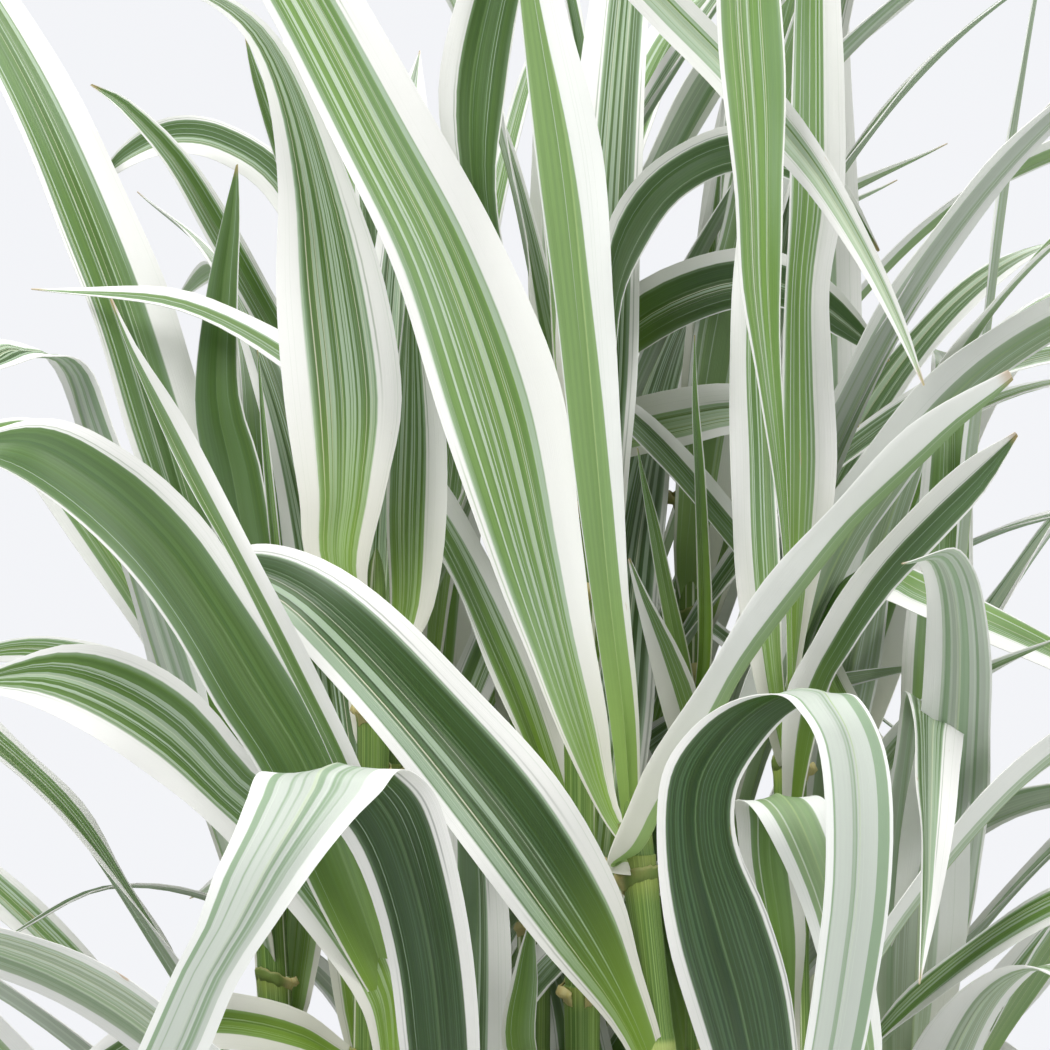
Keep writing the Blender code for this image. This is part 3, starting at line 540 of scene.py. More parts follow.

# Blades given one by one: culm, height of the root in metres, depth of the fold along the midrib and lean of
# the right margin behind the left one in mm, then each pair as it is seen from the front: left margin x and
# y and right margin x and y in picture pixels, and mm behind the view plane. Left and right are as the
# blade's upper side has them, with its base down.
MM = 0.001
HAND_PLACED = {
    "sweeping": ("culm_front", 0.474, 4, 6, [
        (600, 815, 618, 805, 16), (560, 735, 607, 715, 19), (528, 655, 592, 628, 22),
        (496, 576, 582, 540, 24), (443, 429, 560, 385, 26), (396, 275, 499, 236, 26),
        (339, 154, 428, 109, 24), (262, 0, 340, -42, 20), (190, -105, 262, -158, 14),
        (105, -185, 160, -240, 6), (15, -225, 45, -268, 0), (-60, -215, -58, -220, -4),
    ]),
    "young": ("culm_front", 0.484, 4, 2, [
        (640, 812, 622, 818, 8), (639, 718, 610, 723, 6), (628, 582, 590, 589, 3),
        (621, 430, 570, 437, 0), (614, 312, 557, 321, -3), (602, 150, 537, 167, -6),
        (562, -5, 519, 2, -9), (530, -130, 505, -128, -8), (500, -235, 496, -235, -4),
    ]),
    "folded_right": ("culm_front", 0.467, 10, -20, [
        (612, 860, 606, 866, 2), (640, 802, 634, 796, -2), (676, 738, 670, 730, -6),
        (714, 672, 708, 664, -9), (757, 610, 751, 603, -13), (822, 528, 816, 520, -20),
        (880, 468, 874, 460, -28), (950, 410, 946, 402, -38), (1010, 372, 1008, 370, -46),
    ]),
    "low_left": ("culm_front", 0.392, 4, 6, [
        (640, 1075, 664, 1050, 3), (610, 1025, 642, 972, -3), (550, 958, 620, 890, -10),
        (476, 864, 556, 777, -16), (396, 757, 470, 683, -20), (309, 656, 376, 592, -16),
        (262, 608, 305, 552, -8), (222, 592, 240, 548, 0), (180, 610, 184, 598, 8),
    ]),
    "tall_narrow": ("culm_right", 0.512, 3, 4, [
        (787, 680, 793, 680, 30), (783, 560, 790, 556, 18), (772, 470, 786, 462, 12),
        (755, 370, 781, 362, 8), (741, 290, 781, 280, 5), (735, 200, 783, 190, 3),
        (726, 120, 786, 110, 2), (716, 0, 781, -4, 0), (718, -100, 776, -105, -3),
        (732, -190, 774, -192, -8), (752, -265, 768, -262, -14), (764, -320, 765, -318, -20),
    ]),
    "tall_white": ("culm_right", 0.500, 3, 4, [
        (776, 760, 792, 755, 45), (752, 672, 783, 664, 36), (734, 560, 779, 555, 32),
        (731, 450, 775, 447, 30), (729, 360, 770, 356, 28), (736, 250, 768, 246, 28),
        (745, 150, 764, 148, 30), (752, 80, 753, 78, 34),
    ]),
    "tall_behind": ("culm_right", 0.520, 4, 4, [
        (790, 640, 806, 634, 52), (783, 545, 829, 530, 54), (781, 460, 838, 456, 55),
        (783, 370, 832, 366, 55), (785, 290, 829, 288, 55), (789, 200, 845, 196, 55),
        (792, 100, 844, 96, 55), (794, 0, 841, -3, 54), (800, -90, 838, -92, 50),
        (808, -170, 832, -172, 44), (820, -245, 822, -243, 38),
    ]),
    "out_right": ("culm_right", 0.455, 4, 5, [
        (782, 800, 802, 800, 40), (786, 700, 828, 695, 32), (812, 645, 850, 655, 28),
        (850, 578, 893, 590, 22), (905, 515, 940, 540, 12), (960, 465, 985, 492, 4),
        (1015, 432, 1018, 436, -4),
    ]),
    "great_loop": ("culm_right", 0.335, 4, 0, [
        (752, 1180, 790, 1185, -5), (722, 1110, 800, 1115, -28), (690, 1018, 792, 1000, -42),
        (667, 937, 768, 915, -48), (657, 850, 738, 845, -50), (662, 775, 737, 790, -52),
        (691, 730, 764, 743, -55), (731, 703, 798, 710, -61), (778, 694, 845, 693, -72),
        (801, 712, 866, 706, -84), (818, 745, 886, 752, -90), (825, 804, 893, 815, -93),
        (825, 880, 890, 893, -93), (819, 940, 882, 955, -91), (804, 1050, 862, 1060, -86),
        (785, 1140, 835, 1150, -80), (762, 1225, 780, 1228, -74), (745, 1280, 746, 1281, -70),
    ]),
    "small_loop": ("culm_right", 0.390, 3, 0, [
        (775, 1010, 800, 1010, 35), (757, 940, 806, 935, 22), (742, 870, 800, 855, 12),
        (737, 825, 806, 815, 5), (736, 804, 811, 798, -4), (755, 812, 829, 808, -14),
        (784, 864, 848, 862, -19), (804, 912, 862, 915, -21), (818, 958, 872, 965, -22),
        (842, 1030, 882, 1040, -22), (872, 1110, 880, 1112, -20),
    ]),
    "front_fold": ("culm_front_left", 0.335, 4, 0, [
        (432, 1190, 462, 1190, 0), (412, 1120, 475, 1120, -22), (400, 1050, 480, 1050, -38),
        (390, 971, 473, 955, -46), (372, 900, 459, 875, -51), (345, 840, 440, 805, -56),
        (305, 797, 420, 776, -62), (262, 775, 399, 767, -74), (246, 800, 380, 792, -85),
        (232, 835, 352, 822, -91), (212, 880, 315, 868, -94), (196, 928, 275, 925, -95),
        (175, 968, 238, 982, -94), (140, 1045, 203, 1062, -90), (112, 1110, 160, 1125, -85),
        (88, 1175, 118, 1187, -79), (72, 1240, 76, 1242, -73),
    ]),
    "broad_left": ("culm_front_left", 0.425, 4, 6, [
        (388, 1020, 408, 1000, 8), (340, 945, 398, 905, -8), (300, 868, 380, 825, -20),
        (262, 777, 345, 745, -30), (215, 705, 300, 663, -38), (175, 635, 254, 592, -44),
        (125, 568, 200, 515, -50), (65, 510, 128, 452, -56), (5, 470, 48, 418, -60),
        (-55, 450, -52, 445, -62),
    ]),
    "under_left": ("culm_front_left", 0.405, 4, 6, [
        (384, 1090, 404, 1068, 8), (362, 1010, 400, 985, 0), (310, 935, 365, 895, -4),
        (250, 865, 310, 805, -8), (200, 815, 258, 765, -11), (150, 775, 200, 695, -14),
        (90, 735, 135, 655, -18), (30, 705, 62, 645, -22), (-35, 685, -30, 678, -26),
    ]),
    "slim_left": ("culm_front_left", 0.434, 3, 3, [
        (396, 960, 412, 955, -6), (368, 870, 392, 860, -28), (340, 780, 362, 768, -48),
        (288, 672, 313, 665, -60), (243, 582, 273, 588, -66), (197, 500, 222, 487, -70),
        (160, 425, 182, 415, -74), (128, 350, 136, 345, -78), (110, 300, 112, 298, -80),
    ]),
    "upright_left": ("culm_left", 0.548, 4, 3, [
        (352, 612, 372, 614, 54), (308, 562, 368, 566, 50), (299, 496, 386, 488, 46),
        (284, 400, 402, 398, 45), (276, 290, 385, 285, 45), (278, 190, 352, 185, 45),
        (268, 100, 312, 92, 46), (245, 38, 268, 25, 50), (205, 2, 212, -10, 56),
        (160, -10, 162, -14, 62),
    ]),
    "upright_behind_left": ("culm_left", 0.520, 4, 3, [
        (386, 650, 412, 650, 62), (390, 600, 434, 606, 64), (386, 515, 446, 520, 65),
        (390, 430, 446, 428, 66), (400, 340, 430, 335, 66), (410, 260, 414, 258, 66),
    ]),
    "lying_low": ("culm_left", 0.400, 3, 3, [
        (352, 1075, 356, 1050, 66), (300, 1062, 306, 1012, 60), (240, 1050, 248, 995, 54),
        (185, 1052, 190, 992, 48), (120, 1075, 128, 1020, 42), (60, 1110, 66, 1072, 36),
        (15, 1140, 16, 1135, 32),
    ]),
    "spike_left": ("culm_far_left", 0.505, 2, 1, [
        (276, 600, 288, 600, 98), (270, 545, 281, 545, 92), (262, 450, 270, 450, 88),
        (257, 350, 258, 350, 84),
    ]),
    "dim_left": ("culm_far_left", 0.470, 3, 3, [
        (250, 640, 284, 645, 112), (222, 560, 275, 560, 116), (203, 470, 260, 465, 120),
        (194, 400, 240, 395, 122), (205, 300, 238, 296, 124), (222, 220, 240, 218, 126),
        (236, 165, 238, 164, 128),
    ]),
    "dim_slanting": ("culm_back_left", 0.550, 3, 3, [
        (362, 560, 382, 545, 150), (325, 450, 352, 432, 148), (262, 338, 290, 322, 144),
        (205, 235, 232, 220, 140), (165, 165, 185, 150, 136), (120, 110, 130, 100, 132),
        (90, 85, 92, 84, 130),
    ]),
    "dim_arching": ("culm_back_left", 0.582, 3, 3, [
        (368, 480, 392, 470, 158), (350, 390, 378, 375, 160), (310, 280, 345, 262, 162),
        (265, 195, 290, 165, 162), (215, 160, 225, 122, 162), (165, 155, 168, 118, 162),
        (115, 175, 118, 150, 162), (85, 205, 86, 203, 162),
    ]),
    "dim_upright": ("culm_back_left", 0.594, 2, 2, [
        (382, 440, 396, 440, 150), (345, 340, 368, 332, 142), (305, 240, 328, 232, 136),
        (272, 150, 290, 145, 132), (252, 80, 262, 78, 128), (245, 38, 246, 37, 126),
    ]),
    "dark_top": ("culm_middle", 0.578, 4, 3, [
        (552, 500, 572, 490, 62), (520, 410, 552, 400, 55), (480, 300, 515, 295, 49),
        (452, 190, 496, 190, 45), (438, 90, 505, 95, 43), (458, -5, 520, 0, 41),
        (495, -100, 545, -90, 36), (540, -180, 575, -165, 30), (590, -235, 600, -228, 24),
    ]),
    "slanting_down": ("culm_middle", 0.596, 3, 2, [
        (566, 440, 588, 438, 54), (556, 360, 590, 358, 44), (556, 270, 592, 268, 38),
        (548, 180, 588, 178, 34), (535, 90, 575, 92, 31), (522, 5, 558, 12, 29),
        (530, -75, 568, -45, 28), (580, -80, 590, -35, 27), (640, -48, 620, -8, 26),
        (691, 0, 660, 34, 24), (740, 50, 708, 82, 22), (788, 100, 756, 137, 21),
        (832, 165, 806, 190, 21), (875, 248, 856, 262, 22), (905, 320, 893, 327, 24),
        (925, 385, 923, 386, 26),
    ]),
    "high_arch": ("culm_middle", 0.560, 3, 3, [
        (592, 460, 608, 466, 76), (592, 380, 614, 385, 80), (598, 290, 622, 300, 83),
        (612, 215, 645, 248, 85), (655, 160, 680, 200, 87), (731, 125, 735, 172, 88),
        (800, 140, 790, 180, 89), (850, 190, 835, 215, 90), (880, 250, 878, 252, 91),
    ]),
    "low_spike": ("culm_middle", 0.362, 3, 2, [
        (540, 1120, 570, 1105, 56), (502, 1045, 537, 1050, 44), (513, 975, 538, 980, 38),
        (531, 914, 533, 914, 32),
    ]),
    "spike_right": ("culm_middle_right", 0.516, 2, 1, [
        (697, 660, 711, 660, 95), (698, 590, 712, 590, 92), (694, 480, 706, 480, 88),
        (692, 400, 698, 400, 86), (694, 335, 695, 335, 84),
    ]),
    "spike_middle": ("culm_middle_right", 0.500, 2, 1, [
        (676, 680, 692, 672, 92), (660, 600, 676, 596, 86), (648, 530, 661, 530, 83),
        (640, 475, 645, 475, 81), (637, 448, 638, 448, 80),
    ]),
    "short_right": ("culm_middle_right", 0.478, 3, 3, [
        (678, 760, 704, 748, 82), (664, 715, 700, 700, 72), (648, 650, 676, 644, 64),
        (636, 600, 650, 598, 58), (628, 560, 630, 558, 54),
    ]),
    "slanting_back": ("culm_far_right", 0.480, 3, 3, [
        (845, 720, 862, 704, 100), (800, 640, 818, 618, 105), (765, 590, 782, 565, 108),
        (715, 530, 735, 506, 108), (665, 470, 685, 448, 106), (622, 425, 640, 406, 104),
        (585, 385, 588, 380, 102),
    ]),
    "dark_arch": ("culm_back", 0.602, 4, 4, [
        (556, 400, 572, 412, 128), (572, 350, 597, 384, 120), (606, 308, 626, 362, 112),
        (660, 270, 678, 330, 106), (734, 248, 740, 308, 103), (795, 258, 792, 310, 101),
        (845, 295, 835, 335, 99), (890, 360, 888, 362, 97),
    ]),
    "flat_arch": ("culm_back", 0.580, 4, 4, [
        (556, 452, 570, 472, 134), (580, 424, 592, 468, 130), (620, 402, 628, 458, 126),
        (680, 388, 684, 446, 122), (735, 384, 738, 432, 120), (800, 395, 800, 430, 118),
        (860, 425, 858, 428, 116),
    ]),
}

# Windows of the front view that only the pale backdrop fills (left, top, right, bottom, in pixels), the
# window that the listed blades keep for themselves, and how far behind the plane the rule starts there
OPEN_SKY = [(168, -30, 262, 112), (846, 60, 890, 300)]
FRONT_WINDOW = (165, -20, 885, 1065)
RULE_STARTS_BEHIND = 0.062


def seen(x, y, behind):
    """The point that the front view shows at this pixel, so many metres behind the view plane."""
    size = PIXEL * (1 + behind / VIEW_DISTANCE)
    return Vector((
        VIEW_X + (x - PICTURE_MIDDLE) * size,
        VIEW_PLANE_Y + behind,
        VIEW_Z + (PICTURE_MIDDLE - y) * size,
    ))


def pixel_of(point):
    """Where the front view shows a point, and how far behind the view plane it lies."""
    behind = point.y - VIEW_PLANE_Y
    size = PIXEL * (1 + behind / VIEW_DISTANCE)
    x = PICTURE_MIDDLE + (point.x - VIEW_X) / size
    y = PICTURE_MIDDLE - (point.z - VIEW_Z) / size
    return x, y, behind


def culm_point(name, z):
    """The culm's centre line at a height: upright in the soil, then leaning more and more to its top."""
    (x, y), top, _ = CULMS[name]
    start = SOIL_LEVEL + CULM_STRAIGHT_ABOVE_SOIL
    share = max(0.0, (z - start) / (top[2] - start)) ** CULM_LEAN_POWER
    return Vector((x + (top[0] - x) * share, y + (top[1] - y) * share, z))


def rooted(name, height, pairs):
    """The pairs with one more before them, inside the culm, so that the blade's root is well sunk in."""
    middle = culm_point(name, height)
    across = (pairs[0][1] - pairs[0][0]).normalized() * ROOT_WIDTH / 2
    return [(middle - across, middle + across)] + pairs


def hand_placed_pairs(name, height, lean, stations):
    """The margin pairs of a blade given by what the front view shows of it."""
    widths = [math.hypot(x2 - x1, y2 - y1) for x1, y1, x2, y2, _ in stations]
    pairs = []
    for (x1, y1, x2, y2, behind), width in zip(stations, widths):
        back = lean / 2 * width / max(widths)
        left = seen(x1, y1, (behind - back) * MM)
        right = seen(x2, y2, (behind + back) * MM)
        pairs.append((left, right))
    return rooted(name, height, pairs)


def arching_pairs(name, height, heading, start, bend, length, width, roll, drift, crease):
    """The margin pairs of a blade that leaves its culm at an angle and bends over under its own weight.

    Angles are in radians and start and bend are from the vertical. crease is the share of the length where
    the blade is folded down sharply, or 0 for none.
    """
    steps = 50
    shares = [0.06, 0.24, 0.44, 0.64, 0.82, 1.0]
    if crease:
        shares = [0.06, 0.26, crease - 0.05, crease + 0.01, crease + 0.07, 0.86, 1.0]
    wanted = [round(share * steps) for share in shares]
    point = culm_point(name, height)
    pairs = []
    for step in range(1, steps + 1):
        share = step / steps
        angle = start + bend * share ** BEND_POWER
        if crease:
            angle += CREASE_BEND * min(1, max(0, (share - crease + 0.04) / 0.08))
        way = heading + drift * share
        along = Vector((math.sin(angle) * math.cos(way), math.sin(angle) * math.sin(way), math.cos(angle)))
        point = point + along * length / steps
        if step not in wanted:
            continue
        across = Vector((math.sin(way), -math.cos(way), 0))
        across.rotate(Matrix.Rotation(roll * share, 3, along))
        full = 0.5 + 0.5 * min(1, share / 0.25)
        taper = max(0, 1 - max(0, share - 0.25) / 0.75) ** 0.6
        half = across * width * max(0.012, full * taper) / 2
        pairs.append((point - half, point + half))
    return rooted(name, height, pairs)


def cross_sections(pairs, fold, thickness, spread=0.0):
    """Four points for each pair: left margin, upper side of the midrib, right margin, its under side."""
    middles = [(left + right) / 2 for left, right in pairs]
    widths = [(right - left).length for left, right in pairs]
    sections = []
    for i, (left, right) in enumerate(pairs):
        along = middles[min(i + 1, len(pairs) - 1)] - middles[max(i - 1, 0)]
        across = right - left
        up = across.cross(along).normalized()
        sunk = middles[i] - up * fold * widths[i] / max(widths)
        out = across.normalized() * spread
        half = up * (thickness / 2 + spread)
        sections.append((left - out, sunk + half, right + out, sunk - half))
    return sections


def blade_mesh(sections):
    """Points and triangles of the closed solid through these sections, alike on both faces."""
    points = [point for section in sections for point in section]
    faces = [(0, 2, 1), (0, 3, 2)]
    for i in range(len(sections) - 1):
        left, top, right, under = range(4 * i, 4 * i + 4)
        left2, top2, right2, under2 = range(4 * i + 4, 4 * i + 8)
        faces += [(left, top, top2), (left, top2, left2), (top, right, top2), (right, right2, top2)]
        faces += [(left, under2, under), (left, left2, under2)]
        faces += [(under, under2, right), (right, under2, right2)]
    end = 4 * (len(sections) - 1)
    faces += [(end, end + 1, end + 2), (end, end + 2, end + 3)]
    return points, faces


def blade_tree(sections):
    """A blade's triangles, to test others against."""
    return BVHTree.FromPolygons(*blade_mesh(sections))


def culm_tree(name):
    """A six-sided copy of a culm, to test blades against."""
    points = []
    faces = []
    top = CULMS[name][1][2]
    for i in range(CULM_RINGS):
        z = SOIL_LEVEL + (top - SOIL_LEVEL) * i / (CULM_RINGS - 1)
        middle = culm_point(name, z)
        for k in range(6):
            turn = math.tau * k / 6
            points.append(middle + Vector((math.cos(turn), math.sin(turn), 0)) * CULM_RADIUS)
            if i:
                a = 6 * (i - 1) + k
                b = 6 * (i - 1) + (k + 1) % 6
                faces.append((a, b, b + 6, a + 6))
    return BVHTree.FromPolygons(points, faces)


def crosses(name, sections, placed, heed_own):
    """Whether a blade of this culm meets, or comes too near, a blade or culm that is already there."""
    whole = blade_tree(sections)
    outer = blade_tree(sections[2:])
    for owner, full_tree, outer_tree in placed:
        if owner != name and whole.overlap(full_tree):
            return True
        if owner == name and heed_own and outer.overlap(outer_tree):
            return True
    return False


def blocks_view(pairs):
    """Whether a blade stands in the open sky of the front view, or in front of the listed blades."""
    for left, right in pairs:
        for point in (left, (left + right) / 2, right):
            x, y, behind = pixel_of(point)
            for x1, y1, x2, y2 in OPEN_SKY:
                if x1 < x < x2 and y1 < y < y2:
                    return True
            x1, y1, x2, y2 = FRONT_WINDOW
            if x1 < x < x2 and y1 < y < y2 and behind < RULE_STARTS_BEHIND:
                return True
    return False


def off_limits(pairs):
    """Whether a blade dips into the pot or the soil, or hangs too low beside the pot."""
    for left, right in pairs[1:]:
        for point in (left, right):
            beside = math.hypot(point.x, point.y)
            over_pot = beside < RIM_RADIUS + CLEAR_OF_RIM
            if point.z < LOWEST_HANG or (over_pot and point.z < POT_HEIGHT + CLEAR_OF_RIM):
                return True
    return False


def draw_blade(draw, name, number, count, leeway):
    """One blade by the rule: low ones hang further out and high ones stand up. leeway grows from 0 to 1."""
    top = CULMS[name][1][2]
    rank = math.radians(CULMS[name][2]) + math.pi * (number % 2)
    share = number / max(1, count - 1)
    height = SOIL_LEVEL + LOWEST_BLADE_ROOT
    height = height + (top - 0.03 - SOIL_LEVEL - LOWEST_BLADE_ROOT) * share ** 0.8
    height += draw.uniform(-0.012, 0.012)
    heading = rank + math.radians(draw.uniform(-1, 1) * (38 + 90 * leeway))
    start = math.radians(draw.uniform(7, 22) + 16 * (1 - share))
    bend = math.radians(draw.uniform(35, 100) + 20 * (1 - share))
    length = draw.uniform(*BLADE_LENGTH) * (0.84 + 0.16 * share) * (1 - 0.35 * leeway)
    width = draw.uniform(*BLADE_WIDTH) * (1 - 0.2 * leeway)
    roll = math.radians(draw.uniform(-75, 75))
    drift = math.radians(draw.uniform(-40, 40))
    crease = draw.uniform(*CREASE_PLACE) if draw.random() < CREASED_SHARE else 0
    fold = draw.uniform(*BLADE_FOLD)
    if crease:
        bend = math.radians(draw.uniform(15, 45))
    return arching_pairs(name, height, heading, start, bend, length, width, roll, drift, crease), fold


def draw_spike(draw, name):
    """The rolled young blade at the top of a culm."""
    top = CULMS[name][1][2]
    heading = draw.uniform(0, math.tau)
    start = math.radians(draw.uniform(2, 9))
    bend = math.radians(draw.uniform(4, 30))
    length = draw.uniform(*SPIKE_LENGTH)
    width = draw.uniform(*SPIKE_WIDTH)
    roll = draw.uniform(-1, 1)
    drift = draw.uniform(-0.3, 0.3)
    pairs = arching_pairs(name, top - 0.012, heading, start, bend, length, width, roll, drift, 0)
    return pairs, SPIKE_FOLD


def all_blades():
    """Every blade as (culm, name, pairs, fold): the listed ones first, then the ones by the rule."""
    draw = random.Random(SEED)
    placed = [(name, tree, tree) for name in CULMS for tree in [culm_tree(name)]]
    blades = []
    for title, (name, height, fold, lean, stations) in HAND_PLACED.items():
        pairs = hand_placed_pairs(name, height, lean, stations)
        sections = cross_sections(pairs, fold * MM, BLADE_THICKNESS)
        blades.append((name, title, pairs, fold * MM))
        placed.append((name, blade_tree(sections), blade_tree(sections[2:])))
    wanted = []
    for number in range(max(BLADES_BY_RULE.values())):
        wanted += [(name, number) for name, count in BLADES_BY_RULE.items() if number < count]
    with_top = {blade[0] for blade in blades if "spike_" in blade[1]} | {"culm_front"}
    wanted += [(name, SPIKE) for name in CULMS if name not in with_top]
    for name, number in wanted:
        for attempt in range(TRIES):
            if number == SPIKE:
                pairs, fold = draw_spike(draw, name)
            else:
                pairs, fold = draw_blade(draw, name, number, BLADES_BY_RULE[name], attempt / TRIES)
            if blocks_view(pairs) or off_limits(pairs):
                continue
            shell = cross_sections(pairs, fold, BLADE_THICKNESS, CLEARANCE)
            if crosses(name, shell, placed, attempt < TRIES_CLEAR_OF_OWN):
                continue
            sections = cross_sections(pairs, fold, BLADE_THICKNESS)
            blades.append((name, f"by_rule_{number}", pairs, fold))
            placed.append((name, blade_tree(sections), blade_tree(sections[2:])))
            break
    return blades


# The leaf blades: thin living leaves, each grown from its sheath. A blade is a shallow trough with fine
# lengthwise veins, a keel under its midrib, thin margins that wave a little, and a long tapered tip. It is
# striped deep green, grey-green and white, glossy above, and paler and duller below.
STEP_ALONG = 0.0075
STEP_TURN = math.radians(3.5)
ACROSS = (-1, -0.82, -0.58, -0.34, -0.14, -0.05, 0, 0.05, 0.14, 0.34, 0.58, 0.82, 1)
FOLD_ROUNDING = 0.16
HALF_ARCH = 0.05
CREASE_SPAN = 3
CREASE_ANGLE = 0.30
MARGIN_THICKNESS = 0.00030
MIDDLE_THICKNESS = 0.00050
KEEL_DEPTH = 0.0009
KEEL_WIDTH = 0.09
WAVE_LENGTH = (0.055, 0.110)
WAVE_HEIGHT = 0.0011

# How each listed blade is striped: the white share of its width along the left and the right margin,
# its green from 0, bright, to 1, deep blue-green, how much of the green is in pale stripes, and, where it
# isn't 0, how fast the white margins widen towards the tip
STRIPES = {
    "sweeping": (0.08, 0.28, 0.22, 0.90),
    "young": (0.36, 0.02, 0.10, -0.20, 1.6),
    "folded_right": (0.20, 0.33, 0.22, -0.10),
    "low_left": (0.10, 0.18, 0.92, 0.30),
    "tall_narrow": (0.07, 0.03, 0.18, 0.20),
    "tall_white": (0.46, 0.04, 0.40, 0.40),
    "tall_behind": (0.03, 0.36, 0.20, 0.30),
    "out_right": (0.52, 0.04, 0.80, 0.10),
    "great_loop": (0.11, 0.05, 1.00, -0.25),
    "small_loop": (0.19, 0.22, 0.25, -0.10),
    "front_fold": (0.11, 0.16, 1.00, -0.10),
    "broad_left": (0.03, 0.17, 0.62, -0.20),
    "under_left": (0.22, 0.12, 0.55, 0.85),
    "slim_left": (0.02, 0.44, 0.48, 0.10),
    "upright_left": (0.22, 0.20, 0.62, 0.80),
    "upright_behind_left": (0.05, 0.34, 0.60, 0.60),
    "lying_low": (0.26, 0.30, 0.80, 0.50),
    "spike_left": (0.10, 0.10, 0.30, 0.40),
    "dim_left": (0.02, 0.03, 0.62, 0.10),
    "dim_slanting": (0.10, 0.12, 0.60, 0.40),
    "dim_arching": (0.30, 0.10, 0.70, 0.40),
    "dim_upright": (0.02, 0.03, 0.50, 0.20),
    "dark_top": (0.28, 0.03, 0.72, 0.12),
    "slanting_down": (0.26, 0.24, 0.20, 1.30),
    "high_arch": (0.20, 0.03, 0.85, 0.20),
    "low_spike": (0.12, 0.02, 0.30, 0.12),
    "spike_right": (0.08, 0.08, 0.30, 0.40),
    "spike_middle": (0.05, 0.05, 0.40, 0.20),
    "short_right": (0.46, 0.12, 0.50, 0.30),
    "slanting_back": (0.04, 0.30, 0.62, 0.30),
    "dark_arch": (0.20, 0.02, 0.92, 0.10),
    "flat_arch": (0.38, 0.16, 0.60, 1.20),
}


def drawn_stripes(draw):
    """The striping of a blade that isn't placed by hand: one margin broad and white, the other thin."""
    broad = draw.uniform(0.14, 0.40)
    thin = draw.uniform(0.02, 0.20)
    left, right = (broad, thin) if draw.random() < 0.5 else (thin, broad)
    return left, right, draw.uniform(0.15, 0.90), draw.uniform(0.0, 0.95), draw.uniform(-0.5, 0.8)


def smooth_line(points, places, cuts):
    """The smooth line through these points, with so many steps in each gap between them."""
    slopes = []
    for i in range(len(points)):
        before = max(i - 1, 0)
        after = min(i + 1, len(points) - 1)
        slopes.append((points[after] - points[before]) / (places[after] - places[before]))
    line = []
    for i, steps in enumerate(cuts):
        third = (places[i + 1] - places[i]) / 3
        leaving = points[i] + slopes[i] * third
        arriving = points[i + 1] - slopes[i + 1] * third
        line += interpolate_bezier(points[i], leaving, arriving, points[i + 1], steps + 1)[:-1]
    return line + [points[-1]]


def fine_pairs(pairs):
    """The blade's margin pairs again, close together on the smooth lines through them."""
    middles = [(left + right) / 2 for left, right in pairs]
    gaps = [(after - before).length for before, after in zip(middles, middles[1:])]
    places = [0.0]
    for gap in gaps:
        places.append(places[-1] + math.sqrt(gap))
    cuts = []
    for i, gap in enumerate(gaps):
        turn = 0.0
        for side in (0, 1):
            ways = [pair[side] for pair in pairs[max(i - 1, 0):i + 3]]
            steps = [after - before for before, after in zip(ways, ways[1:])]
            turn = max([turn] + [a.angle(b) / 2 for a, b in zip(steps, steps[1:]) if a.length and b.length])
        cuts.append(max(2, round(gap / STEP_ALONG), math.ceil(turn / STEP_TURN)))
    lefts = smooth_line([left for left, _ in pairs], places, cuts)
    rights = smooth_line([right for _, right in pairs], places, cuts)
    return list(zip(lefts, rights))


